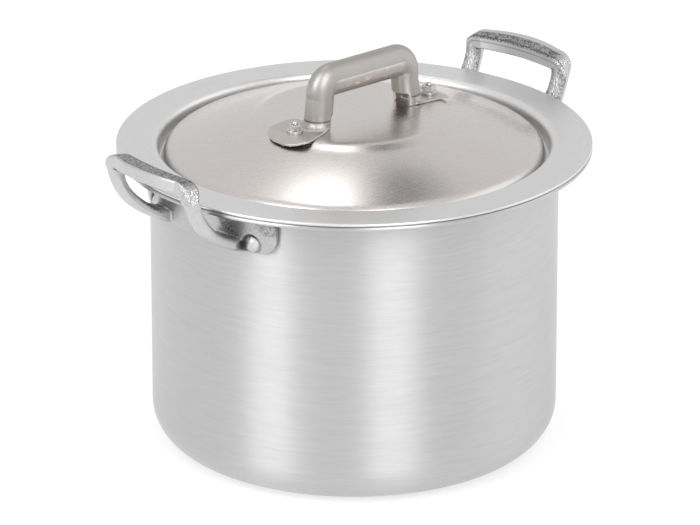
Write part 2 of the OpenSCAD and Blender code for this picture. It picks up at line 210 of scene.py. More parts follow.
@dataclass
class Surface:
    """A mesh in the making: points in millimetres and faces of four corners.

    A face whose last two corners are the same point is a triangle.
    """

    points: Array
    faces: Array
    uv: Array | None = None
    fields: dict[str, Array] = field(default_factory=dict)

    def moved(self, matrix: Matrix) -> Surface:
        """The same surface with its points carried by a matrix."""
        m = np.array(matrix)
        return Surface(self.points @ m[:3, :3].T + m[:3, 3], self.faces, self.uv, self.fields)

    def joined(self, *others: Surface) -> Surface:
        """One surface of this one and others, with no UV map or fields.

        Args:
            others: The other surfaces.

        Returns:
            The surface.
        """
        parts = (self, *others)
        starts = np.cumsum([0] + [len(p.points) for p in parts[:-1]])
        return Surface(np.vstack([p.points for p in parts]),
                       np.vstack([p.faces + s for p, s in zip(parts, starts)]))

    def edges(self) -> Array:
        """Pairs of points that share an edge, each pair in both directions.

        Returns:
            Array of pairs.
        """
        a = self.faces
        pairs = np.vstack([a[:, [i, (i + 1) % 4]] for i in range(4)])
        pairs = pairs[pairs[:, 0] != pairs[:, 1]]
        return np.vstack([pairs, pairs[:, ::-1]])

    def relaxed(self, rounds: int, pull: float = 0.5, weight: Array | float = 1.0) -> Surface:
        """Smooths the surface: each point moves towards the mean of its neighbours, and then part way back.

        Args:
            rounds: How many times that happens.
            pull: Share of the way to the mean.
            weight: How much each point takes part, as a column of shares.

        Returns:
            The smoothed surface.
        """
        pairs = self.edges()
        count = np.bincount(pairs[:, 0], minlength=len(self.points))[:, None]
        points = self.points
        for share in [pull, -BACK * pull] * rounds:
            sums = [np.bincount(pairs[:, 0], points[pairs[:, 1], i], len(points)) for i in range(3)]
            mean = np.stack(sums, -1)
            points = points + weight * share * (mean / np.maximum(count, 1) - points)
        return Surface(points, self.faces, self.uv, self.fields)

    def mesh(self, name: str) -> bpy.types.Mesh:
        """Makes a Blender mesh of the surface, in metres and smoothly shaded.

        Args:
            name: Name of the mesh.

        Returns:
            The mesh, with the UV map and the fields as attributes.
        """
        corners = self.faces
        keep = corners != np.roll(corners, -1, axis=1)
        good = keep.sum(1) >= 3
        corners, keep = corners[good], keep[good]
        loops = corners[keep]
        starts = np.concatenate([[0], np.cumsum(keep.sum(1))[:-1]])
        mesh = bpy.data.meshes.new(name)
        mesh.vertices.add(len(self.points))
        mesh.vertices.foreach_set("co", (self.points * MM).astype(np.float32).ravel())
        mesh.loops.add(len(loops))
        mesh.polygons.add(len(corners))
        mesh.polygons.foreach_set("loop_start", starts.astype(np.int32))
        mesh.polygons.foreach_set("vertices", loops.astype(np.int32))
        mesh.update(calc_edges=True)
        mesh.polygons.foreach_set("use_smooth", np.ones(len(corners), dtype=bool))
        if self.uv is not None:
            layer = mesh.uv_layers.new(name="UVMap")
            layer.data.foreach_set("uv", self.uv[good][keep].astype(np.float32).ravel())
        for key, values in self.fields.items():
            layer = mesh.attributes.new(key, "FLOAT", "POINT")
            layer.data.foreach_set("value", values.astype(np.float32))
        mesh.validate()
        return mesh


def grid_faces(rows: int, columns: int, ring: bool = True) -> Array:
    """Faces between neighbouring rows and columns of a grid of points.

    Args:
        rows: Number of rows.
        columns: Number of points in a row.
        ring: Whether each row closes on itself.

    Returns:
        Array of faces with four corners each.
    """
    i = np.arange(rows - 1)[:, None]
    j = np.arange(columns if ring else columns - 1)[None, :]
    k = (j + 1) % columns
    corners = [i * columns + j, i * columns + k, (i + 1) * columns + k, (i + 1) * columns + j]
    return np.stack(np.broadcast_arrays(*corners), -1).reshape(-1, 4)


def lathe(profile: Array, sides: int = 256) -> Surface:
    """Turns a profile round +Z: (r, z) becomes (r cos a, r sin a, z), with a going round in equal steps.

    The profile runs so that the outside is on its right when it goes up. A point on the axis is one pole.
    The UV map has the share of the turn and the length along the profile in metres.

    Args:
        profile: Points as (radius, height).
        sides: Number of steps round.

    Returns:
        The turned surface.
    """
    n = len(profile)
    a = turn_steps(sides)
    points = np.stack([profile[:, :1] * np.cos(a), profile[:, :1] * np.sin(a),
                       np.repeat(profile[:, 1:], sides, axis=1)], -1).reshape(-1, 3)
    faces = grid_faces(n, sides)
    index = np.arange(n * sides).reshape(n, sides)
    index[profile[:, 0] < 1e-6] = index[profile[:, 0] < 1e-6][:, :1]
    run = lengths(profile) * MM
    i = np.repeat(np.arange(n - 1), sides)
    j = np.tile(np.arange(sides), n - 1)
    u = np.stack([j, j + 1, j + 1, j], -1) / sides
    v = np.stack([run[i], run[i], run[i + 1], run[i + 1]], -1)
    return Surface(points, index.ravel()[faces], np.stack([u, v], -1))


def skin(rings: Array, caps: bool = True) -> Surface:
    """Covers rings of points with faces, each ring joined to the next, and closes both ends by a fan.

    Args:
        rings: Points as (ring, place on the ring, 3).
        caps: Whether the ends are closed.

    Returns:
        The surface, whose faces point outwards when the rings turn right-handed about their own direction.
    """
    n, m, _ = rings.shape
    points = rings.reshape(-1, 3)
    faces = grid_faces(n, m)
    if caps:
        ends = rings[[0, -1]].mean(axis=1)
        j = np.arange(m)
        k = (j + 1) % m
        first = np.stack([k, j, np.full(m, n * m), np.full(m, n * m)], -1)
        last = np.stack([j, k, np.full(m, n * m + 1), np.full(m, n * m + 1)], -1)
        last[:, :2] += (n - 1) * m
        points = np.vstack([points, ends])
        faces = np.vstack([faces, first, last])
    return Surface(points, faces)


def nearest(points: Array, places: Array) -> Array:
    """For each point, the number of the nearest place, worked out in blocks to save memory."""
    blocks = np.array_split(points, max(1, len(points) // 20000))
    return np.concatenate([((b[:, None] - places[None]) ** 2).sum(-1).argmin(1) for b in blocks])


def sided(rings: Array, side: Side) -> Surface:
    """Covers rings that stand on the +X side, or their mirror image on the other side."""
    return skin(rings * [-1, 1, 1] if side is Side.LEFT else rings[:, ::-1])


def looped(surface: Surface, columns: int) -> Surface:
    """Joins the last ring of points, which lies on the first one, to it.

    Args:
        surface: A surface made of rings.
        columns: Number of points in a ring.

    Returns:
        The surface without its last ring of points.
    """
    last = len(surface.points) - columns
    faces = np.where(surface.faces >= last, surface.faces - last, surface.faces)
    return Surface(surface.points[:last], faces, surface.uv, surface.fields)


def linked(name: str, data: bpy.types.ID) -> bpy.types.Object:
    """Makes an object with the given data and puts it in the scene.

    Args:
        name: Name of the object.
        data: Its mesh or camera.

    Returns:
        The object.
    """
    thing = bpy.data.objects.new(name, data)
    bpy.context.scene.collection.objects.link(thing)
    return thing


def fused(surface: Surface, cube: float, rounds: int) -> Surface:
    """Melts closed surfaces that run into each other to one skin, sampled on a grid of small cubes.

    Args:
        surface: The closed surfaces together.
        cube: Size of the cubes.
        rounds: Rounds of smoothing afterwards, which rounds the edges and the inner corners.

    Returns:
        The melted surface.
    """
    cast = linked("fusing", surface.mesh("fusing"))
    melt = cast.modifiers.new("Melt", "REMESH")
    melt.mode = "VOXEL"
    melt.voxel_size = cube * MM
    melt.adaptivity = 0.0
    bpy.context.view_layer.update()
    mesh = bpy.data.meshes.new_from_object(cast.evaluated_get(bpy.context.evaluated_depsgraph_get()))
    points = np.empty(len(mesh.vertices) * 3, dtype=np.float32)
    mesh.vertices.foreach_get("co", points)
    total, start = (np.empty(len(mesh.polygons), dtype=np.int32) for _ in range(2))
    corner = np.empty(len(mesh.loops), dtype=np.int32)
    mesh.polygons.foreach_get("loop_total", total)
    mesh.polygons.foreach_get("loop_start", start)
    mesh.loops.foreach_get("vertex_index", corner)
    faces = corner[start[:, None] + np.minimum(np.arange(4)[None, :], total[:, None] - 1)]
    bpy.data.objects.remove(cast)
    bpy.data.meshes.remove(mesh)
    return Surface(points.reshape(-1, 3).astype(float) / MM, faces).relaxed(rounds)


def piece(name: str, surface: Surface, finish: Finish, body: Body, node: str) -> None:
    """Makes a piece of the scene from a surface, dresses it and hands it to its body.

    Args:
        name: Name of the piece.
        surface: Its surface.
        finish: Its finish.
        body: The body it moves with.
        node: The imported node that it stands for.
    """
    thing = linked(name, surface.mesh(name))
    thing.data.materials.append(finish.material())
    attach(thing, body.value)
    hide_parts(node)
    log.info("%s: %d faces", name, len(thing.data.polygons))


# Shader maths


def math_operator(operation: str, swapped: bool = False) -> Callable[[Number, Number | float], Number]:
    """Makes one of the operators of the class Number.

    Args:
        operation: What its Math node does.
        swapped: Whether the other value comes first.

    Returns:
        The method.
    """
    def method(this: Number, other: Number | float) -> Number:
        """Adds the node."""
        return this.shader.maths(operation, *((other, this) if swapped else (this, other)))
    return method


class Number:
    """A number socket of a shader, on which Python's operators add Math nodes."""

    def __init__(self, shader: Shader, socket: Socket) -> None:
        """Keeps the shader and the socket."""
        self.shader = shader
        self.socket = socket

    __add__ = __radd__ = math_operator("ADD")
    __mul__ = __rmul__ = math_operator("MULTIPLY")
    __sub__, __rsub__ = math_operator("SUBTRACT"), math_operator("SUBTRACT", swapped=True)
    __truediv__, __rtruediv__ = math_operator("DIVIDE"), math_operator("DIVIDE", swapped=True)
    __pow__, __rpow__ = math_operator("POWER"), math_operator("POWER", swapped=True)

    def step(self, low: float, high: float) -> Number:
        """Goes smoothly from 0 at one value to 1 at another.

        Args:
            low: The value that gives 0; it may be the larger one.
            high: The value that gives 1.

        Returns:
            The step.
        """
        inputs = {"Value": self, "From Min": low, "From Max": high}
        node = self.shader.node("ShaderNodeMapRange", {"interpolation_type": "SMOOTHSTEP"}, inputs)
        return Number(self.shader, node.outputs["Result"])

    def swing(self, amount: float) -> Number:
        """Makes a value about a half swing about zero, by an amount from end to end."""
        return (self - 0.5) * amount

    def capped(self, low: float, high: float) -> Number:
        """Keeps the value between two limits."""
        return self.shader.maths("MINIMUM", self.shader.maths("MAXIMUM", self, low), high)


class Shader:
    """A node tree under construction, with plain names for the few kinds of node that the finishes use."""

    def __init__(self, tree: bpy.types.NodeTree) -> None:
        """Empties the tree.

        Args:
            tree: The node tree of a material or of the world.
        """
        self.tree = tree
        self.tree.nodes.clear()

    def node(self, kind: str, settings: dict | None = None, inputs: dict | None = None) -> bpy.types.Node:
        """Adds a node.

        Args:
            kind: Blender's name of the node type.
            settings: Values of the node's own settings.
            inputs: Values or links of its sockets, by name or place.

        Returns:
            The node.
        """
        node = self.tree.nodes.new(kind)
        for key, value in (settings or {}).items():
            setattr(node, key, value)
        for key, value in (inputs or {}).items():
            source = value.socket if isinstance(value, Number) else value
            if isinstance(source, Socket):
                self.tree.links.new(source, node.inputs[key])
            else:
                node.inputs[key].default_value = source
        return node

    def maths(self, operation: str, *values: Number | float) -> Number:
        """Adds a Math node on one to three values."""
        node = self.node("ShaderNodeMath", {"operation": operation}, dict(enumerate(values)))
        return Number(self, node.outputs[0])

    def scaled(self, colour: Socket | Triple, value: Number) -> Socket:
        """A colour, or a link to one, made lighter or darker by a factor."""
        node = self.node("ShaderNodeVectorMath", {"operation": "SCALE"}, {0: colour, "Scale": value})
        return node.outputs["Vector"]

    def place(self) -> Socket:
        """The object's own coordinates, in metres."""
        return self.node("ShaderNodeTexCoord").outputs["Object"]

    def split(self, vector: Socket) -> tuple[Number, Number, Number]:
        """The three parts of a vector."""
        node = self.node("ShaderNodeSeparateXYZ", None, {0: vector})
        return tuple(Number(self, node.outputs[i]) for i in range(3))

    def vector(self, x: Number | float, y: Number | float, z: Number | float) -> Socket:
        """A vector of three numbers."""
        return self.node("ShaderNodeCombineXYZ", None, {0: x, 1: y, 2: z}).outputs[0]

    def field(self, name: str) -> Number:
        """A value that the piece's mesh holds for each point."""
        node = self.node("ShaderNodeAttribute", {"attribute_type": "GEOMETRY", "attribute_name": name})
        return Number(self, node.outputs["Fac"])

    def noise(self, where: Socket, scale: float, detail: float = 2.0, rough: float = 0.5) -> Number:
        """Soft noise from 0 to 1 about a half.

        Args:
            where: Link to the place.
            scale: How fast it changes, per unit of the place.
            detail: How many finer layers it has.
            rough: How strong each layer is, as a share of the one before.

        Returns:
            The noise.
        """
        inputs = {"Vector": where, "Scale": scale, "Detail": detail, "Roughness": rough}
        return Number(self, self.node("ShaderNodeTexNoise", None, inputs).outputs["Fac"])

    def streaks(self, parts: tuple[Number | float, ...], scales: Triple, detail: float = 2.0) -> Number:
        """Noise over three values, each of which has a scale of its own."""
        where = self.vector(*(part * scale for part, scale in zip(parts, scales)))
        return self.noise(where, 1.0, detail, 0.6)

    def turned(self, streak: float, lines: float) -> Number:
        """Noise as a lathe leaves it: it changes fast along the profile and slowly round the axis.

        Args:
            streak: How fast it changes round the axis.
            lines: How fast it changes along the profile, per metre.

        Returns:
            The noise.
        """
        x, y, _ = self.split(self.place())
        across = (x * x + y * y) ** 0.5 + 0.02
        along = self.split(self.node("ShaderNodeUVMap").outputs["UV"])[1]
        return self.streaks((x / across, y / across, along), (streak, streak, lines))

    def cells(self, where: Socket, scale: float) -> Number:
        """Distance to the nearest of many scattered points."""
        node = self.node("ShaderNodeTexVoronoi", {"feature": "F1"}, {"Vector": where, "Scale": scale})
        return Number(self, node.outputs["Distance"])

    def blend(self, share: Number, a: Socket | Triple, b: Triple) -> Socket:
        """A colour between two colours; the first may be a link."""
        values = {0: share, 6: (*a, 1.0) if isinstance(a, tuple) else a, 7: (*b, 1.0)}
        return self.node("ShaderNodeMix", {"data_type": "RGBA"}, values).outputs[2]

    def bump(self, height: Number, distance: float) -> Socket:
        """A surface direction disturbed by a height of 0 to 1 times a distance in metres."""
        node = self.node("ShaderNodeBump", None, {"Strength": 1.0, "Distance": distance, "Height": height})
        return node.outputs["Normal"]

    def metal(self, colour: Socket, rough: Number, normal: Socket,
              grain: float = 0.0) -> Socket:
        """A metal.

        Args:
            colour: Link to its colour.
            rough: Its roughness.
            normal: Link to a disturbed surface direction.
            grain: How strongly the reflections stretch across the lines.

        Returns:
            The shader socket.
        """
        inputs = {"Base Color": colour, "Roughness": rough, "Metallic": 1.0, "Normal": normal,
                  "Anisotropic": grain, "Anisotropic Rotation": ACROSS}
        return self.node("ShaderNodeBsdfPrincipled", None, inputs).outputs["BSDF"]


# Finishes


@dataclass(frozen=True)
class Finish(ABC):
    """A finish of the pot's metal; each kind draws its own pattern."""

    name: str
    colour: Triple
    rough: float

    def material(self) -> bpy.types.Material:
        """The material of the finish, made once.

        Returns:
            The material.
        """
        made = bpy.data.materials.get(self.name)
        if made is None:
            made = bpy.data.materials.new(self.name)
            made.use_nodes = True
            shader = Shader(made.node_tree)
            shader.node("ShaderNodeOutputMaterial", None, {"Surface": self.draw(shader)})
        return made

    @abstractmethod
    def draw(self, shader: Shader) -> Socket:
        """Draws the pattern and returns the shader's socket."""


@dataclass(frozen=True)
class TurnedMetal(Finish):
    """Sheet that was spun and turned: fine lines run round it, broken into streaks."""

    streak: float = 9.0
    lines: float = 2600.0
    coarse_streak: float = 3.15
    coarse_lines: float = 416.0
    fine_share: float = 0.65
    cloud_scale: float = 22.0
    tone: float = 0.79
    line_tone: float = 0.38
    cloud_tone: float = 0.04
    relief: float = 0.00002
    grain: float = 0.92

    def draw(self, shader: Shader) -> Socket:
        """Mixes fine and coarse turned lines, which change the tone, the roughness and the relief.

        Args:
            shader: The shader in the making.

        Returns:
            The metal.
        """
        fine = shader.turned(self.streak, self.lines)
        coarse = shader.turned(self.coarse_streak, self.coarse_lines)
        clouds = shader.noise(shader.place(), self.cloud_scale, 3.0)
        lines = fine * self.fine_share + coarse * (1.0 - self.fine_share)
        tone = self.tone + lines * self.line_tone + clouds * self.cloud_tone
        rough = self.rough + coarse.swing(0.12) + clouds.swing(0.05)
        normal = shader.bump(lines, self.relief)
        return shader.metal(shader.scaled(self.colour, tone), rough, normal, self.grain)


@dataclass(frozen=True)
class BuffedDome(Finish):
    """The lid: satin turned rim, and a buffed dome with fine crossed scratches."""

    dome_r: float = 0.113
    rim: Triple = (0.7, 0.7, 0.7)
    # Lighter colour for the channel and fold: painted light, standing in for light bounced inside the hollow
    fold: Triple = (0.74, 0.735, 0.73)
    fold_from: tuple[float, float] = (0.113, 0.1145)
    fold_to: tuple[float, float] = (0.1225, 0.12)
    streak: float = 12.0
    lines: float = 2600.0
    scratch: Triple = (80.0, 2600.0, 300.0)
    cross: Triple = (2800.0, 70.0, 300.0)
    cross_way: tuple[float, float] = (0.82, 0.57)
    cloud_scale: float = 14.0
    tone: float = 0.87
    line_tone: float = 0.2
    cloud_tone: float = 0.06
    rim_rough: float = 0.08
    relief: float = 0.000012
    grain: float = 0.3

    def draw(self, shader: Shader) -> Socket:
        """The rim has turned lines; the dome has long thin scratches in two directions.

        Args:
            shader: The shader in the making.

        Returns:
            The metal.
        """
        place = shader.place()
        x, y, z = shader.split(place)
        radius = (x * x + y * y) ** 0.5
        dome = radius.step(self.dome_r + 0.003, self.dome_r - 0.002)
        c, s = self.cross_way
        scratches = (shader.streaks((x, y, z), self.scratch)
                     + shader.streaks((x * c + y * s, y * c - x * s, z), self.cross)) * 0.5
        lines = shader.turned(self.streak, self.lines) * (1.0 - dome) + scratches * dome
        clouds = shader.noise(place, self.cloud_scale, 4.0, 0.6)
        tone = self.tone + lines * self.line_tone + clouds * self.cloud_tone
        rough = self.rough + (1.0 - dome) * self.rim_rough + clouds.swing(0.08) + lines.swing(0.12)
        # Painted light: the channel and the fold take the lighter fold colour
        fold = radius.step(*self.fold_from) * radius.step(*self.fold_to)
        colour = shader.blend(fold, shader.blend(dome, self.rim, self.colour), self.fold)
        return shader.metal(shader.scaled(colour, tone), rough, shader.bump(lines, self.relief), self.grain)


@dataclass(frozen=True)
class SandCast(Finish):
    """Cast metal: rough sandy faces where the mould left them, smooth satin faces where it was ground."""

    grit_scale: float = 950.0
    pit_scale: float = 900.0
    fleck_scale: float = 800.0
    lump_scale: float = 330.0
    mark_scale: float = 90.0
    sand_tone: float = 0.18
    smooth_tone: float = 0.9
    sand_rough: float = 0.14
    worn_smooth: float = 0.2
    # How far the painted shade darkens the tone
    grime_dark: float = 0.8
    relief: float = 0.0004

    def draw(self, shader: Shader) -> Socket:
        """The fields say where the face is rough (sand), where it shines (worn) and where shade is painted on
        it.

        Args:
            shader: The shader in the making.

        Returns:
            The metal.
        """
        place = shader.place()
        sand, worn, grime = (shader.field(name) for name in ("sand", "worn", "grime"))
        grit = shader.noise(place, self.grit_scale, 1.0).step(0.38, 0.62)
        pits = shader.cells(place, self.pit_scale)
        lumps = shader.noise(place, self.lump_scale, 3.0, 0.55)
        marks = shader.noise(place, self.mark_scale, 4.0, 0.6)
        flecks = shader.noise(place, self.fleck_scale, 2.0, 0.6).step(0.56, 0.66)
        smooth = self.smooth_tone + marks * 0.16 - flecks * 0.1
        grain = (self.sand_tone + grit * 0.5 + (pits - 0.45) * 0.25 + marks.swing(0.3)).capped(0.08, 1.2)
        # Painted shade darkens the tone in grooves, along a line on the grip and in the rivets' recesses
        tone = ((1.0 - sand) * smooth + sand * grain) * (1.0 - grime * self.grime_dark)
        rough = self.rough + sand * self.sand_rough - worn * self.worn_smooth + marks.swing(0.14)
        height = sand * (grit + pits) * 0.4 + (1.0 - sand) * lumps * 0.2 + worn * pits * 1.6
        return shader.metal(shader.scaled(self.colour, tone), rough, shader.bump(height, self.relief))


@dataclass(frozen=True)
class BuffedTube(Finish):
    """The lid's handle: warm satin metal, buffed along the tube."""

    lines: Triple = (70.0, 1900.0, 1.0)
    wrinkle: Triple = (160.0, 420.0, 1.0)
    mark_scale: float = 120.0
    tone: float = 0.84
    line_tone: float = 0.26
    mark_tone: float = 0.06
    # Painted shade on the fold; the three amounts below it are painted light
    fold_painted_shade: float = 0.75
    under_light: float = 0.28
    spot_light: float = 0.5
    inner_light: float = 1.1
    relief: float = 0.0002

    def draw(self, shader: Shader) -> Socket:
        """The fields along and around are the lengths along the tube and round it, in metres.

        The field below is the depth under the tube's middle in millimetres, less one. The others are shares:
        seam where the metal wrinkles, fold on the foot's crease, grip on the straight run, inner in the legs.

        Args:
            shader: The shader in the making.

        Returns:
            The metal.
        """
        names = ("along", "around", "seam", "fold", "below", "grip", "inner")
        along, around, seam, fold, below, grip, inner = (shader.field(name) for name in names)
        lines = shader.streaks((along, around, 0.0), self.lines, 3.0)
        wrinkles = shader.streaks((along, around, 0.0), self.wrinkle, 3.0)
        marks = shader.noise(shader.place(), self.mark_scale, 4.0, 0.6)
        # Painted highlight along the crease line of the grip
        crease = below.step(-0.7, -0.15) * below.step(0.55, 0.1) * grip
        # Painted light: the grip's lower side under the crease is made lighter
        under = below.step(0.1, 0.6) * below.step(7.0, 4.5) * grip
        # Painted glints on the wrinkles under the crease
        bright = under * wrinkles.step(0.52, 0.62) * marks.step(0.42, 0.56)
        # Painted shade darkens the fold where the leg meets the foot
        base = (self.tone + lines * self.line_tone + marks * self.mark_tone) * (1.0 - fold * self.fold_painted_shade)
        # Painted light: the highlight and glints, and light inside the legs' hollow and a little on the feet
        tone = (base * (1.0 + under * self.under_light) + (crease + bright) * self.spot_light
                + inner * self.inner_light)
        rough = self.rough + marks.swing(0.14) + lines.swing(0.14)
        height = lines * 0.1 + marks * 0.4 + seam * wrinkles * 2.2 + under * wrinkles * 0.8
        return shader.metal(shader.scaled(self.colour, tone), rough, shader.bump(height, self.relief))


@dataclass(frozen=True)
class WornMetal(Finish):
    """Small bright parts with a mottled, slightly knocked surface."""

    dent_scale: float = 420.0
    fine_scale: float = 2400.0
    tone: float = 0.35
    fine_tone: float = 0.25
    dent_rough: float = 0.3
    relief: float = 0.0003

    def draw(self, shader: Shader) -> Socket:
        """Soft dents and fine scratches.

        Args:
            shader: The shader in the making.

        Returns:
            The metal.
        """
        place = shader.place()
        dents = shader.noise(place, self.dent_scale, 3.0, 0.55)
        fine = shader.noise(place, self.fine_scale, 2.0, 0.6)
        tone = self.tone + dents + fine * self.fine_tone
        normal = shader.bump(dents + fine * 0.15, self.relief)
        rough = self.rough + dents.swing(self.dent_rough)
        return shader.metal(shader.scaled(self.colour, tone), rough, normal)


@dataclass(frozen=True)
class PaleFloor(Finish):
    """The studio's matt white floor, lit from below so that shadows on it are faint."""

    cloud_scale: float = 1.5
    cloud_tone: float = 0.02
    glow: float = 0.6

    def draw(self, shader: Shader) -> Socket:
        """A matt white with hardly any variation.

        Args:
            shader: The shader in the making.

        Returns:
            The floor's shader.
        """
        cloud = shader.noise(shader.place(), self.cloud_scale, 2.0)
        tone = shader.scaled(self.colour, 1.0 + cloud.swing(self.cloud_tone))
        matt = shader.node("ShaderNodeBsdfDiffuse", None, {"Color": tone}).outputs[0]
        glow = shader.node("ShaderNodeEmission", None, {"Color": WHITE, "Strength": self.glow}).outputs[0]
        return shader.node("ShaderNodeAddShader", None, {0: matt, 1: glow}).outputs[0]


POT_METAL = TurnedMetal("pan_finish", (0.55, 0.55, 0.55), 0.4)
LID_METAL = BuffedDome("lid_finish", (0.645, 0.612, 0.592), 0.27)
CAST_METAL = SandCast("casting_finish", (0.58, 0.58, 0.58), 0.42)
TUBE_METAL = BuffedTube("tube_finish", (0.415, 0.396, 0.382), 0.43)
RIVET_METAL = WornMetal("rivet_finish", (0.62, 0.62, 0.62), 0.42)
FASTENER_METAL = WornMetal("fastener_finish", (0.6, 0.59, 0.58), 0.2)
FLOOR = PaleFloor("floor_finish", (0.42, 0.42, 0.42), 1.0)


# The pot


@dataclass
class PotBody:
    """The pan: base, rounded corner, straight wall and flared rim, of one sheet."""

    inner_r: float = 120.0
    wall: float = 2.5
    height: float = 185.5
    base: float = 3.0
    corner_r: float = 23.0
    rim_w: float = 20.0
    fillet_r: float = 1.5
    groove_z: tuple[float, ...] = (171.2, 173.1)
    groove_depth: float = 0.12
    groove_w: float = 0.35
    edge_soft: float = 0.15

    def profile(self) -> Array:
        """The sheet's closed outline from the axis under the base round to the axis above it.

        Returns:
            Points as (radius, height).
        """
        outer = self.inner_r + self.wall
        bend = (outer + self.fillet_r, self.height - self.wall - self.fillet_r)
        inner_corner = self.corner_r - self.wall
        outline = np.vstack([
            [[0.0, 0.0]],
            arc((outer - self.corner_r, self.corner_r), self.corner_r, -90, 0),
            arc(bend, self.fillet_r, 180, 90),
            arc((outer + self.rim_w - self.wall / 2, self.height - self.wall / 2), self.wall / 2, -90, 90),
            arc(bend, self.fillet_r + self.wall, 90, 180),
            arc((self.inner_r - inner_corner, self.base + inner_corner), inner_corner, 0, -90),
            [[0.0, self.base]]])
        path = respace(soften(outline, self.edge_soft), 6.0, 3.0)
        wall = np.abs(path[:, 0] - outer) < 0.05
        cut = sum(bell(path[:, 1] - z, self.groove_w) for z in self.groove_z)
        path[:, 0] -= np.where(wall, self.groove_depth * cut, 0.0)
        return path

    def build(self) -> None:
        """Makes the piece."""
        piece("pan", lathe(self.profile(), 320), POT_METAL, Body.POT, "pot_body")


@dataclass
class SideHandle:
    """A cast loop handle: grip, two arms and the strap that hugs the wall, with two rivets."""

    side: Side
    skew: float = 0.0
    lift: float = 0.0
    wall_r: float = 122.5
    grip_z: float = 202.5
    reach: float = 158.55
    bow: float = 3.7
    span: float = 68.0
    foot_span: float = 59.0
    bend_r: float = 7.0
    depth: float = 14.0
    end_depth: float = 11.4
    thick: float = 9.0
    arm_depth: float = 5.5
    arm_w: float = 11.5
    arm_out: float = 1.5
    foot_w: float = 21.0
    foot_thick: float = 7.5
    tilt: float = 10.0
    corner_share: float = 0.28
    flare_share: float = 0.35
    square_share: float = 0.2
    round_share: float = 0.5
    under_taper: float = 0.3
    ground_from: float = 0.95
    strap_gap: float = 0.2
    strap_end: float = 16.3
    strap_low_z: float = 158.0
    strap_h: float = 19.5
    strap_top_t: float = 4.5
    strap_low_t: float = 2.6
    strap_corner_r: float = 9.5
    strap_top_r: float = 3.0
    rivet_angle: float = 21.0
    rivet_z: float = 162.7
    rivet_head_r: float = 4.65
    rivet_head_h: float = 1.8
    rivet_shank_r: float = 2.5
    inner_r: float = 120.0
    seat_r: float = 124.9
    seat_d: float = 12.8
    arm_leave: tuple[float, float] = (-0.02, -0.29)
    arm_arrive: tuple[float, float] = (-0.2, -0.82)
    root_r: tuple[float, float] = (123.2, 138.0)
    root_half: float = 44.0
    root_rounds: int = 60
    cube: float = 0.46

    def arm_points(self) -> Array:
        """The four control points of the arm's curve, as (distance from the axis, height).

        Returns:
            The points, from the grip to inside the strap.
        """
        start = np.array([self.reach - self.bow, self.grip_z])
        end = np.array([self.wall_r - self.strap_top_t - 1.0,
                        self.strap_low_z + self.seat_r - self.wall_r - self.strap_gap])
        size = start - end
        return np.array([start, start + size * self.arm_leave, start + size * self.arm_arrive, end])

    def route(self) -> tuple[Array, Array]:
        """The handle's route as sideways places and shares of the way down the arm.

        Returns:
            Both, from one foot over the grip to the other foot.
        """
        top = self.span / 2 - self.bend_r
        bend = self.bend_r / lengths(self.arm_points())[-1]
        grip = np.linspace(0, top, 24)[:-1]
        a = np.radians(np.linspace(0, 90, 16))
        k = np.linspace(0, 1, 48)[1:]
        arm = mix(self.span, self.foot_span, ease(k / 0.9 - 0.3)) / 2
        arm += self.arm_out * band(k, 0.0, 0.85, 0.2, 0.4)
        side = np.concatenate([grip, top + self.bend_r * np.sin(a), arm])
        share = np.concatenate([np.zeros(len(grip)), bend * (1 - np.cos(a)), mix(bend, 1.0, k)])
        return np.concatenate([-side[:0:-1], side]), np.concatenate([share[:0:-1], share])

    def frames(self) -> dict[str, Array]:
        """Places, directions and sizes along the route.

        The middle of the bar follows a cubic curve down the arm; the grip swells outwards by a parabola.

        Returns:
            At each place: the place, the directions across the bar and outwards, the section's depth, width,
            squareness and taper, and the share of the way down the arm.
        """
        side, share = self.route()
        k = share[:, None]
        p = self.arm_points()
        curve = p[0] * (1 - k) ** 3 + 3 * p[1] * (1 - k) ** 2 * k + 3 * p[2] * (1 - k) * k * k + p[3] * k ** 3
        slope = unit((p[1] - p[0]) * (1 - k) ** 2 + 2 * (p[2] - p[1]) * (1 - k) * k + (p[3] - p[2]) * k * k)
        swell = np.where(share > 0, 0.0, 1 - np.clip(np.abs(side) / (self.span / 2 - self.bend_r), 0, 1) ** 2)
        face = np.array([math.cos(math.radians(self.tilt)), 0.0, math.sin(math.radians(self.tilt))])
        more = (self.depth - self.end_depth) * swell
        place = np.stack([curve[:, 0], side, curve[:, 1]], -1) + face * swell[:, None] * self.bow
        way = unit(np.gradient(place, axis=0))
        turn = ease(share / self.corner_share)
        flare = ease((share - self.flare_share) / (1 - self.flare_share))
        beside_slope = np.insert(left_of(slope), 1, 0.0, axis=1)
        outward = unit(mix(face, beside_slope, turn[:, None]))
        across = unit(np.cross(way, outward))
        return {"place": place, "across": across, "outward": np.cross(across, way),
                "depth": mix(mix(self.end_depth + more, self.arm_depth, turn), self.foot_thick, flare),
                "width": mix(mix(self.thick, self.arm_w, turn), self.foot_w, flare), "share": share,
                "square": mix(self.square_share, self.round_share, turn),
                "taper": self.under_taper * (1 - turn)}

    def bar(self, frames: dict[str, Array]) -> Surface:
        """The loop: a superellipse carried along the route, a crisp rectangle on the grip and rounder below.

        On the grip the underside rises towards the outer face, by a share of the thickness.

        Args:
            frames: What frames() gives.

        Returns:
            The closed bar.
        """
        a = turn_steps(48, 0.5)
        power = frames["square"][:, None]
        u, v = (np.sign(wave) * np.abs(wave) ** power for wave in (np.cos(a), np.sin(a)))
        v = v * (1 - frames["taper"][:, None] * np.where(v > 0, ease((u + 0.3) / 1.3), 0.0))
        out = frames["outward"][:, None] * (u * frames["depth"][:, None] / 2)[..., None]
        aside = frames["across"][:, None] * (v * frames["width"][:, None] / 2)[..., None]
        return skin(frames["place"][:, None] + out + aside)

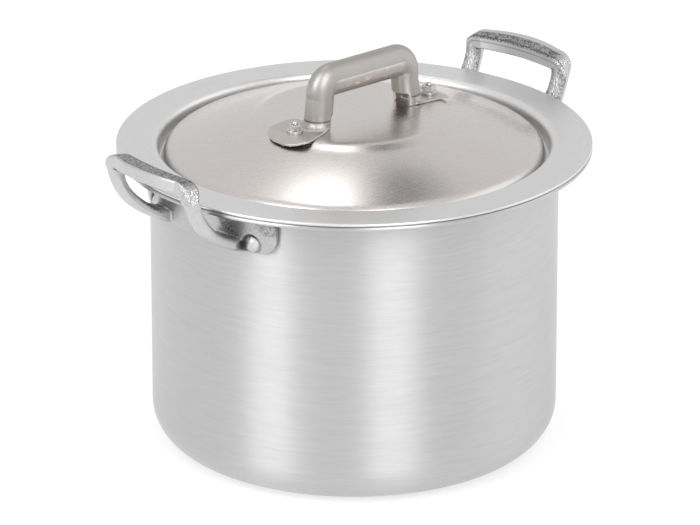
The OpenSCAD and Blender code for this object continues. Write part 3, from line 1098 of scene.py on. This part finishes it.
    def strap(self) -> Surface:
        """The strap: a curved plate whose ends are rounded, as rings that follow each other round the wall.

        Each ring goes up the outer face, a cone, and down the inner face, a cylinder. Its height follows the
        rounded corners at the ends.

        Returns:
            The closed strap.
        """
        inner = self.wall_r + self.strap_gap
        outer = inner + self.strap_low_t
        end = math.radians(self.rivet_angle) + math.asin(self.strap_end / outer)
        a = end * np.sin(np.linspace(-np.pi / 2, np.pi / 2, 121))
        y = outer * np.sin(np.abs(a) - math.radians(self.rivet_angle))
        low_in, high_in = (r - np.sqrt(r ** 2 - np.clip(y - (self.strap_end - r), 0, r) ** 2)
                           for r in (self.strap_corner_r, self.strap_top_r))
        low, high = self.strap_low_z + low_in, self.strap_low_z + self.strap_h - high_in
        z_up = mix(low[:, None], high[:, None], np.linspace(0, 1, 25)[None])
        z = np.concatenate([z_up, z_up[:, ::-1]], axis=1)
        thick = mix(self.strap_low_t, self.strap_top_t, (z_up - self.strap_low_z) / self.strap_h)
        r = np.concatenate([inner + thick, np.full_like(z_up, inner)], axis=1)
        rings = np.stack([r * np.cos(a)[:, None], r * np.sin(a)[:, None], z], -1)
        return skin(rings[:, ::-1])

    def dressed(self) -> Surface:
        """Melts bar and strap together, sinks the rivets' seats and adds the fields for the finish.

        Returns:
            The finished casting, pointing along +X.
        """
        frames = self.frames()
        cast = fused(self.bar(frames).joined(self.strap()), self.cube, 2)
        p = cast.points
        root = band(np.hypot(p[:, 0], p[:, 1]), *self.root_r, 1.2, 6)
        root = root * ease((self.root_half - np.abs(p[:, 1])) / 5)
        cast = cast.relaxed(self.root_rounds, weight=root[:, None])
        p = cast.points
        p[:, :2] *= np.maximum(1.0, (self.wall_r + self.strap_gap) / np.hypot(p[:, 0], p[:, 1]))[:, None]
        for sign in (-1, 1):
            out, aside, up = self.from_rivet(p, sign)
            sunk = ease((self.seat_d / 2 + 0.4 - np.hypot(aside, up)) / 0.8)
            sunk = sunk * (out > self.seat_r) * (out < self.seat_r + 8)
            angle = math.radians(sign * self.rivet_angle)
            p[:, :2] += (sunk * (self.seat_r - out))[:, None] * [math.cos(angle), math.sin(angle)]
        near = nearest(p, frames["place"])
        rel = p - frames["place"][near]
        u = (rel * frames["outward"][near]).sum(-1) / (frames["depth"][near] / 2)
        v = (rel * frames["across"][near]).sum(-1) / (frames["width"][near] / 2)
        cast.fields = self.fields(p, u, v, frames["share"][near])
        return cast

    def from_rivet(self, p: Array, sign: int) -> tuple[Array, Array, Array]:
        """Where points lie from a rivet's axis.

        Args:
            p: The points.
            sign: Which rivet, as the sign of Y.

        Returns:
            How far along the rivet, to its side and above it.
        """
        angle = math.radians(sign * self.rivet_angle)
        c, s = math.cos(angle), math.sin(angle)
        return p[:, 0] * c + p[:, 1] * s, p[:, 1] * c - p[:, 0] * s, p[:, 2] - self.rivet_z

    def fields(self, p: Array, u: Array, v: Array, share: Array) -> dict[str, Array]:
        """Where the casting is sandy or worn, and where shade is painted on it, from 0 to 1.

        The numbers are places on the casting, in millimetres or as shares, each over the length or share over
        which the field fades there.

        Args:
            p: Points of the casting.
            u: Place in the bar's section, from -1 on the side of the pot to 1 outside.
            v: The same from -1 on the loop's outer side to 1 on its inner side.
            share: Share of the way down the arm.

        Returns:
            The fields by name.
        """
        grip = ease((0.15 - share) / 0.08)
        arm = 1 - grip
        above = ease((-v - 0.7) / 0.16) * ease((self.ground_from - u) / 0.12)
        beneath = ease((v - 0.72) / 0.16)
        pot_side = ease((-u - 0.62) / 0.2)
        low = ease((share - 0.56) / 0.12)
        inward = ease((-u - 0.1) / 0.3)
        bar = (grip * np.maximum(above, beneath * 0.7)
               + arm * np.maximum(beneath * np.maximum(low * inward * 0.9, pot_side * 0.8), pot_side * 0.5))
        radius = np.hypot(p[:, 0], p[:, 1])
        slant = np.abs(p[:, 1]) + (p[:, 2] - 168) * 0.6
        root = band(slant, 25, 40, 5, 6) * 0.8
        end = ease((slant - 50) / 6) * ease((p[:, 2] - 167) / 5) * 0.65
        sand = mix(bar, np.maximum(np.maximum(root, end), 0.22), ease((134 - radius) / 4))
        front = -self.side.value
        worn = band(share, 0.005, 0.25, 0.05, 0.08) * ease((0.3 - v) / 0.5) * ease(front * p[:, 1] / 5.0)
        if self.side is Side.RIGHT:
            sand = np.maximum(sand, arm * inward * 0.8)
            worn = np.maximum(worn, arm * inward * bell(v, 0.45) * 0.9)
        # Painted shade: a dark line along the grip's top face near its pot-side edge, and a dark groove line
        # on its pot side
        line = bell(u + 0.8, 0.1) * ease((-v - 0.7) / 0.16) * grip * 0.7
        groove = bell(v + 0.3, 0.1) * ease((-u - 0.8) / 0.1) * grip * 0.6
        grime = np.maximum(line, groove)
        # Painted shade in each rivet's recess, stronger towards one upper side, where the recess's wall
        # shades it
        for sign in (-1, 1):
            _, aside, up = self.from_rivet(p, sign)
            seat = band(np.hypot(aside, up), 4.2, 7.0, 0.5, 0.8) * (radius > self.seat_r - 0.6)
            grime = np.maximum(grime, seat * (0.45 + 0.55 * ease((up - front * aside + 3) / 6)))
        return {"sand": np.clip(sand * (1 - worn), 0, 1), "worn": worn, "grime": grime}

    def turned(self) -> Matrix:
        """How the handle is turned and lifted to its place."""
        angle = math.pi if self.side is Side.LEFT else math.radians(self.skew)
        return Matrix.Translation((0, 0, self.lift)) @ Matrix.Rotation(angle, 4, "Z")

    def rivet(self) -> Surface:
        """A rivet along +X: a low round head at each end of its shank, as one turned profile.

        Returns:
            The closed rivet.
        """
        r, h = self.rivet_head_r, self.rivet_head_h
        seat = math.sqrt(self.inner_r ** 2 - r ** 2)
        ball = (r ** 2 + h ** 2) / (2 * h)
        dome = math.degrees(math.asin(r / ball))
        tip = arc((0, self.seat_r + h - ball), ball, 90 - dome, 90, 16)
        tail = arc((0, seat - h + ball), ball, -90, -90 + dome, 16)
        outline = np.vstack([tail, [[self.rivet_shank_r, seat], [self.rivet_shank_r, self.seat_r]], tip])
        return lathe(respace(soften(outline, 0.12, 0.05), 8.0, 1.0), 64)

    def build(self) -> None:
        """Makes the casting and its two rivets."""
        word = self.side.name.lower()
        cast = self.dressed().moved(self.turned())
        piece(f"{word}_loop", cast, CAST_METAL, Body.POT, f"{word}_handle")
        upright = Matrix(((0, 0, 1), (1, 0, 0), (0, 1, 0))).to_4x4()
        for sign in (-1, 1):
            spin = Matrix.Rotation(math.radians(sign * self.rivet_angle), 4, "Z")
            matrix = self.turned() @ spin @ Matrix.Translation((0, 0, self.rivet_z)) @ upright
            end = "back" if sign == self.side.value else "front"
            piece(f"{word}_{end}_rivet", self.rivet().moved(matrix), RIVET_METAL, Body.POT,
                  f"{word}_rivet_{end}")


# The lid


@dataclass
class LidShell:
    """The lid: flat rim, fold, channel, shoulder, dome and low platform, one sheet thick."""

    sheet: float = 1.9
    top_z: float = 187.7
    rim_r: float = 142.5
    wall_r: float = 117.4
    fold_r: float = 3.8
    channel_c: tuple[float, float] = (115.9, 177.7)
    channel_r: float = 1.5
    shoulder_c: tuple[float, float] = (105.4, 178.45)
    shoulder_r: float = 9.0
    dome_r: float = 274.0
    step_r: float = 60.8
    platform_r: float = 56.5
    step_h: float = 2.5
    step_soft: float = 2.4
    fold_soft: float = 0.55

    @property
    def dome_z(self) -> float:
        """Height of the middle of the dome's sphere."""
        return self.shoulder_c[1] - math.sqrt((self.dome_r - self.shoulder_r) ** 2 - self.shoulder_c[0] ** 2)

    @property
    def platform_z(self) -> float:
        """Height of the platform."""
        return self.dome_z + math.sqrt(self.dome_r ** 2 - self.step_r ** 2) + self.step_h

    def profile(self) -> Array:
        """The closed outline of the sheet, from the axis along its underside and back along its top.

        Returns:
            Points as (radius, height).
        """
        step = math.degrees(math.asin(self.step_r / self.dome_r))
        foot = math.degrees(math.asin(self.shoulder_c[0] / (self.dome_r - self.shoulder_r)))
        edge_r = self.rim_r - self.sheet / 2
        crown = soften(np.vstack([
            [[0.0, self.platform_z], [self.platform_r, self.platform_z]],
            arc((0, self.dome_z), self.dome_r, 90 - step, 90 - foot, 60)]), self.step_soft)
        top = np.vstack([
            crown,
            arc(self.shoulder_c, self.shoulder_r, 90 - foot, 0)[1:],
            arc(self.channel_c, self.channel_r, 180, 360),
            arc((self.wall_r + self.fold_r, self.top_z - self.fold_r), self.fold_r, 180, 90),
            [[edge_r, self.top_z]]])
        top = soften(top, self.fold_soft)
        edge = arc((edge_r, self.top_z - self.sheet / 2), self.sheet / 2, -90, 90)[1:-1]
        under = beside(top, self.sheet)
        under[0, 0] = 0.0
        return respace(np.vstack([under, edge, top[::-1]]), 6.0, 4.0)

    def build(self) -> None:
        """Makes the piece."""
        piece("lid", lathe(self.profile(), 320), LID_METAL, Body.LID, "lid_shell")


@dataclass
class LidHandle:
    """The lid's handle: a bent tube whose ends open out into two feet."""

    platform_z: float
    sheet: float = 1.4
    tube_d: float = 16.5
    tube_h: float = 20.0
    rise: float = 28.4
    span: float = 66.0
    lean: float = 2.0
    bend_r: float = 8.5
    gap: float = 8.0
    open_at: float = 4.3
    foot_r: float = 16.5
    foot_wide: float = 39.0
    foot_x: float = 49.0
    bend_x: float = 58.0
    foot_tilt: float = 20.0
    neck_more: float = 0.6
    left_start: float = 33.0
    right_start: float = 36.5
    left_slopes: tuple[float, float] = (0.377, 2.4)
    right_slopes: tuple[float, float] = (0.08, 1.6)
    right_less: float = 3.5
    throat_r: float = 4.5
    throat_half: float = 84.0
    throat_in: float = 0.9
    throat_under: float = 0.7
    shift: float = 7.5
    cube: float = 0.46

    def route(self) -> Array:
        """The tube's middle line as (along, up): grip, a bend at each end and two leaning legs.

        Returns:
            Points from the left leg's foot to the right one's.
        """
        z = self.platform_z + self.rise
        lean = math.degrees(math.atan(self.lean / (self.rise - self.bend_r)))
        c = (self.span / 2 - self.bend_r, z - self.bend_r)
        bend = arc(c, self.bend_r, 90, -lean, 20)
        grip = np.stack([np.linspace(0, c[0], 12)[:-1], np.full(11, z)], -1)
        foot = np.array([self.span / 2 + self.lean, self.platform_z])
        leg = mix(bend[-1], foot, np.linspace(0, 1, 16)[1:, None])
        half = np.vstack([grip, bend, leg])
        return np.vstack([half[:0:-1] * [-1, 1], half])

    def rings(self, inset: float) -> Array:
        """Rings round the route: ellipses, taller than wide along the grip.

        Args:
            inset: How far they lie inside the tube's outer face.

        Returns:
            Points as (ring, place on the ring, 3).
        """
        route = self.route()
        way = unit(np.gradient(route, axis=0))
        way[0], way[-1] = (0.0, 1.0), (0.0, -1.0)
        up = left_of(way)
        high = mix(self.tube_d, self.tube_h, np.abs(way[:, 0])) / 2 - inset
        a = turn_steps(64)
        flat = route[:, None] + up[:, None] * (high[:, None] * np.cos(a))[..., None]
        y = np.broadcast_to(-(self.tube_d / 2 - inset) * np.sin(a), flat.shape[:2])
        return np.stack([flat[..., 0], y, flat[..., 1]], -1)

    def tube(self) -> Surface:
        """The thin-walled tube: outer rings forwards and inner rings back, joined at both open ends.

        Returns:
            The tube, whose legs stand clear of the lid on their inner half.
        """
        outer, inner = self.rings(0.0), self.rings(self.sheet)
        walls = np.concatenate([outer, inner[::-1], outer[:1]])
        leg_in = self.span / 2 + self.lean - self.open_at
        inside = np.abs(walls[..., 0]) < leg_in
        walls[..., 2] = np.where(inside, np.maximum(walls[..., 2], self.platform_z + self.gap), walls[..., 2])
        return looped(skin(walls, caps=False), 64)

    def plate_start(self, side: Side) -> float:
        """How far from the handle's middle a foot's plate starts."""
        return self.left_start if side is Side.LEFT else self.right_start

    def edges(self, side: Side, x: Array) -> tuple[Array, Array]:
        """How far a foot's straight edges lie from the tube's line, to the front and to the back.

        Args:
            side: Which foot.
            x: Distances from the handle's middle.

        Returns:
            Both distances at each x; each grows by its slope beyond the plate's start.
        """
        slopes = self.left_slopes if side is Side.LEFT else self.right_slopes
        beyond = np.maximum(x - self.plate_start(side), 0.0)
        neck = self.tube_d / 2 + self.neck_more
        return neck + beyond * slopes[0], neck + beyond * slopes[1]

    @staticmethod
    def smaller(a: Array, b: Array, soft: float = 0.9) -> Array:
        """The smaller of two lengths with the corner between them rounded: -s log(e^(-a/s) + e^(-b/s))."""
        return -soft * np.logaddexp(-a / soft, -b / soft)

    def foot(self, side: Side) -> Surface:
        """A foot: a broad oval plate under its nut that turns down beyond the bend.

        Rows run along the tube's line; each row is a ring round the plate, as wide as the oval is there.

        Args:
            side: Which foot.

        Returns:
            The closed plate.
        """
        flat = self.foot_wide / 2 - self.foot_r
        radius = self.foot_r - (self.right_less if side is Side.RIGHT else 0.0)
        start, tip = self.plate_start(side), self.foot_x + radius
        x = mix(start, tip, np.sin(np.linspace(0, np.pi / 2, 60)))
        oval = flat + np.sqrt(np.maximum(radius ** 2 - (x - self.foot_x) ** 2, 0.02))
        front, back = self.edges(side, x)
        back = np.where(x < self.foot_x, np.maximum(back, oval), oval)
        back = self.smaller(back, np.full_like(x, self.foot_wide / 2))
        front = self.smaller(oval, front)
        t = np.linspace(0, 1, 41)
        drop = np.maximum(x - self.bend_x, 0) * math.tan(math.radians(self.foot_tilt))
        top = (self.platform_z + self.sheet - drop)[:, None] + 0 * t
        y = mix(-front[:, None], back[:, None], t)
        rings = np.stack([np.repeat(x[:, None], 82, 1), np.concatenate([y, y[:, ::-1]], 1),
                          np.concatenate([top, top - self.sheet], 1)], -1)
        return sided(rings, side)

    def throat(self, side: Side) -> Surface:
        """The flare between leg and foot: a hollow quarter round carried round the leg's outer half.

        Its section runs up the leg, down a hollow arc to the foot's top and back under it.

        Args:
            side: Which leg.

        Returns:
            The closed flare.
        """
        z = self.platform_z + self.sheet
        r, flare = self.tube_d / 2, self.throat_r
        hollow = arc((r + flare, z + flare), flare, 180, 270, 12)
        inner, under = r - self.throat_in, z - self.throat_under
        section = np.vstack([[[inner, under], [inner, z + flare]], hollow, [[r + flare, under]]])
        a = np.radians(np.linspace(-self.throat_half, self.throat_half, 49))[:, None]
        up = (section[:, 1] - self.platform_z) / (self.rise - self.bend_r)
        middle = self.span / 2 + self.lean * (1 - up)
        x = middle + section[:, 0] * np.cos(a)
        front, back = self.edges(side, x)
        rings = np.stack([x, np.clip(section[:, 0] * np.sin(a), -front, back),
                          np.broadcast_to(section[:, 1], (49, len(section)))], -1)
        return sided(rings, side)

    def dressed(self) -> Surface:
        """Melts tube, feet and throats together and adds the fields for the finish.

        Returns:
            The finished handle.
        """
        whole = self.tube().joined(*(part(side) for side in Side for part in (self.foot, self.throat)))
        cast = fused(whole, self.cube, 2)
        p = cast.points
        route = self.route()
        places = np.stack([route[:, 0], np.zeros(len(route)), route[:, 1]], -1)
        near = nearest(p, places)
        way = unit(np.gradient(route, axis=0))
        up = left_of(way)
        rel = p - places[near]
        high = rel[:, 0] * up[near, 0] + rel[:, 2] * up[near, 1]
        foot = ease((self.platform_z + 3.0 - p[:, 2]) / 1.5)
        along = lengths(route)[near] + rel[:, 0] * way[near, 0] + rel[:, 2] * way[near, 1]
        around = np.arctan2(p[:, 1], high) * self.tube_d / 2
        seam = bell(high + self.tube_h * 0.42, 1.6) * (1 - foot)
        foot_z = self.platform_z + self.sheet
        fold_z = foot_z + self.throat_r
        outside = ease((np.abs(p[:, 0]) - self.span / 2 - self.lean + 4.0) / 2.0)
        straight = ease((self.span / 2 - self.bend_r + 4 - np.abs(p[:, 0])) / 5) * (1 - foot)
        inner = ease((self.tube_d / 2 - 0.4 - np.hypot(high, p[:, 1])) / 0.5)
        # In the finish, fold gets painted shade on the foot's crease and inner gets painted light, inside the
        # legs and a little on the feet
        cast.fields = {"along": mix(along, p[:, 0], foot) * MM, "around": mix(around, p[:, 1], foot) * MM,
                       "seam": np.maximum(seam, band(p[:, 2], foot_z, fold_z) * outside),
                       "fold": bell(p[:, 2] - fold_z, 0.55) * outside, "below": 1.0 - high, "grip": straight,
                       "inner": np.maximum(inner, foot * 0.2)}
        cast.points = p - [0, self.shift, 0]
        return cast

    def build(self) -> None:
        """Makes the piece."""
        piece("lid_tube", self.dressed(), TUBE_METAL, Body.LID, "lid_handle")


@dataclass
class LidFasteners:
    """A screw, a washer and a nut on each foot of the lid's handle."""

    platform_z: float
    lid_sheet: float
    sheet: float
    shift: float
    span: float = 105.0
    twists: tuple[float, float] = (18.0, 41.0)
    screw_d: float = 4.0
    head_d: float = 7.0
    head_h: float = 2.6
    head_round: float = 0.6
    head_drop: float = 0.42
    slot_w: float = 1.2
    slot_depth: float = 1.2
    over: float = 1.6
    pitch: float = 0.7
    thread_share: float = 0.11
    nut_af: float = 7.0
    nut_h: float = 3.4
    nut_chamfer: tuple[float, float] = (0.05, 6.0)
    washer_d: float = 9.8
    washer_t: float = 2.0
    washer_soft: float = 0.2

    def screw(self) -> Surface:
        """A screw with a slotted head, whose shank has the radius r0 (1 - h |saw(z / pitch + a / 2 pi)|).

        The slot is cut into the grid: points of the head's face inside it are pushed in.

        Returns:
            The closed screw, its place at the axis.
        """
        under = self.platform_z - self.lid_sheet - self.head_drop
        top = self.platform_z + self.sheet + self.washer_t + self.nut_h + self.over
        low = under - self.head_h
        r, edge, core = self.head_d / 2, self.head_round, self.screw_d / 2
        face = np.stack([np.linspace(0.1, r - edge, 24), np.full(24, low)], -1)
        shank = np.stack([np.full(120, core), np.linspace(under, top - 0.3, 120)], -1)
        profile = np.vstack([[[0.0, low]], face, arc((r - edge, low + edge), edge, -90, 0, 6), [[r, under]],
                             shank, [[core - 0.35, top], [0.0, top]]])
        turned = lathe(profile, 96)
        p = turned.points
        angle, radius = np.arctan2(p[:, 1], p[:, 0]), np.hypot(p[:, 0], p[:, 1])
        saw = np.abs(((p[:, 2] / self.pitch + angle / (2 * np.pi)) % 1.0) * 2 - 1)
        threaded = (p[:, 2] > under + 0.05) & (radius > core - 0.05)
        p[:, :2] *= np.where(threaded, 1 - self.thread_share * saw, 1.0)[:, None]
        slot = (np.abs(p[:, 1]) < self.slot_w / 2) & (p[:, 2] < low + self.slot_depth)
        p[:, 2] = np.where(slot, low + self.slot_depth, p[:, 2])
        return turned

    def washer(self) -> Surface:
        """A washer: a ring with rounded edges that rests on its foot.

        Returns:
            The closed washer.
        """
        z = self.platform_z + self.sheet
        r, hole = self.washer_d / 2, self.screw_d / 2 + 0.15
        outline = np.array([[hole, z], [r, z], [r, z + self.washer_t], [hole, z + self.washer_t], [hole, z]])
        return looped(lathe(respace(soften(outline, self.washer_soft, 0.05), 10.0, 1.2), 72), 72)

    def nut(self) -> Surface:
        """A hexagon nut, whose radius is the smaller of the hexagon's and a cone's that chamfers its corners.

        Returns:
            The closed nut.
        """
        z = self.platform_z + self.sheet + self.washer_t
        a = turn_steps(144)
        sector = (a + np.pi / 6) % (np.pi / 3) - np.pi / 6
        flat = self.nut_af / 2 / np.cos(sector)
        hole = np.full(144, self.screw_d / 2 + 0.03)
        t = np.array([0.0, 0.05, 0.09, 0.16, 0.25, 0.5, 0.75, 0.84, 0.91, 0.95, 1.0])
        cone = self.nut_af / 2 + self.nut_chamfer[0] + self.nut_chamfer[1] * np.minimum(t, 1 - t)
        side = np.minimum(flat[None], cone[:, None])
        radius = np.vstack([hole, mix(hole, side[0], 0.5), side, mix(hole, side[-1], 0.5), hole, hole])
        height = np.concatenate([[0, 0], t, [1, 1, 0]]) * self.nut_h + z
        z_all = np.broadcast_to(height[:, None], radius.shape)
        return looped(skin(np.stack([radius * np.cos(a), radius * np.sin(a), z_all], -1), caps=False), 144)

    def build(self) -> None:
        """Makes the six pieces."""
        for side, angle in zip(Side, self.twists):
            word = side.name.lower()
            move = Matrix.Translation((side.value * self.span / 2, -self.shift, 0))
            twist = move @ Matrix.Rotation(math.radians(angle), 4, "Z")
            for what, made, matrix in (("screw", self.screw(), twist), ("washer", self.washer(), move),
                                       ("nut", self.nut(), twist)):
                piece(f"{word}_{what}", made.moved(matrix), FASTENER_METAL, Body.LID,
                      f"{word}_lid_{what}")


# The studio


@dataclass(frozen=True)
class SoftBox:
    """A soft light, or with a negative strength a dark screen, as a patch of the sky.

    turn is its direction seen from above, to the right of the camera's, and rise its height, in degrees.
    """

    turn: float
    rise: float
    half_turn: float
    half_rise: float
    soft: float
    strength: float


@dataclass
class Studio:
    """Floor, sky with soft boxes, and the camera."""

    floor_r: tuple[float, ...] = (0.0, 400.0, 1500.0, 9000.0)
    camera_turn: float = 229.5
    look_z: float = 100.4
    distance: float = 3508.0
    back: Triple = (-0.6038, -0.7070, 0.3683)
    lens: float = 299.06
    shift: tuple[float, float] = (-0.00606, 0.01717)
    sky: float = 0.84
    boxes: tuple[SoftBox, ...] = (
        SoftBox(-50.0, 38.0, 12.5, 24.0, 1.5, 4.7),
        SoftBox(22.6, 38.0, 14.0, 24.0, 1.5, 3.9),
        SoftBox(100.0, 20.0, 26.0, 30.0, 8.0, 0.5),
        SoftBox(194.0, 66.0, 12.5, 7.5, 3.0, 3.0),
        SoftBox(162.0, 64.0, 10.0, 11.0, 3.0, -0.84),
    )

    def floor(self) -> None:
        """A large disc at the height that the pot stands on."""
        disc = lathe(np.array([[r, 0.0] for r in self.floor_r]), 96)
        disc.faces, disc.uv = disc.faces[:, ::-1], None
        ground = linked("floor", disc.mesh("floor"))
        ground.data.materials.append(FLOOR.material())

    def light(self) -> None:
        """The sky: an even tone, plus a smooth-edged patch for each soft box."""
        world = bpy.data.worlds.new("studio")
        bpy.context.scene.world = world
        world.use_nodes = True
        shader = Shader(world.node_tree)
        x, y, z = shader.split(shader.node("ShaderNodeTexCoord").outputs["Generated"])
        rise = shader.maths("ARCSINE", z.capped(-1.0, 1.0)) * (180.0 / math.pi)
        total = shader.maths("ADD", self.sky, 0.0)
        for box in self.boxes:
            a = math.radians(self.camera_turn + box.turn)
            ahead = x * math.cos(a) + y * math.sin(a)
            aside = y * math.cos(a) - x * math.sin(a)
            turn = shader.maths("ABSOLUTE", shader.maths("ARCTAN2", aside, ahead)) * (180.0 / math.pi)
            lift = shader.maths("ABSOLUTE", rise - box.rise)
            patch = (lift.step(box.half_rise + box.soft, box.half_rise - box.soft)
                     * turn.step(box.half_turn + box.soft, box.half_turn - box.soft))
            total = total + patch * box.strength
        values = {"Color": WHITE, "Strength": total.capped(0.0, 100.0)}
        light = shader.node("ShaderNodeBackground", None, values)
        shader.node("ShaderNodeOutputWorld", None, {"Surface": light.outputs[0]})

    def camera(self) -> None:
        """The camera, at the photograph's angle."""
        data = bpy.data.cameras.new("camera")
        data.lens = self.lens
        data.sensor_width = 36.0
        data.shift_x, data.shift_y = self.shift
        data.clip_end = 100.0
        eye = linked("camera", data)
        back = Vector(self.back).normalized()
        eye.location = (Vector((0, 0, self.look_z)) + back * self.distance) * MM
        eye.rotation_euler = back.to_track_quat("Z", "Y").to_euler()
        bpy.context.scene.camera = eye

    def build(self) -> None:
        """Sets up floor, light and camera, and shows colours as they are."""
        self.floor()
        self.light()
        self.camera()
        bpy.context.scene.view_settings.view_transform = "Standard"


def main() -> None:
    """Builds the pot, the lid and the studio in order."""
    logging.basicConfig(level=logging.INFO, format="%(message)s")
    Studio().build()
    PotBody().build()
    SideHandle(Side.LEFT).build()
    SideHandle(Side.RIGHT, skew=8.5, lift=1.25, reach=158.05, arm_out=0.0, ground_from=0.35,
               under_taper=0.0).build()
    shell = LidShell()
    shell.build()
    handle = LidHandle(shell.platform_z)
    handle.build()
    LidFasteners(shell.platform_z, shell.sheet, handle.sheet, handle.shift).build()


if __name__ == "__main__":
    main()
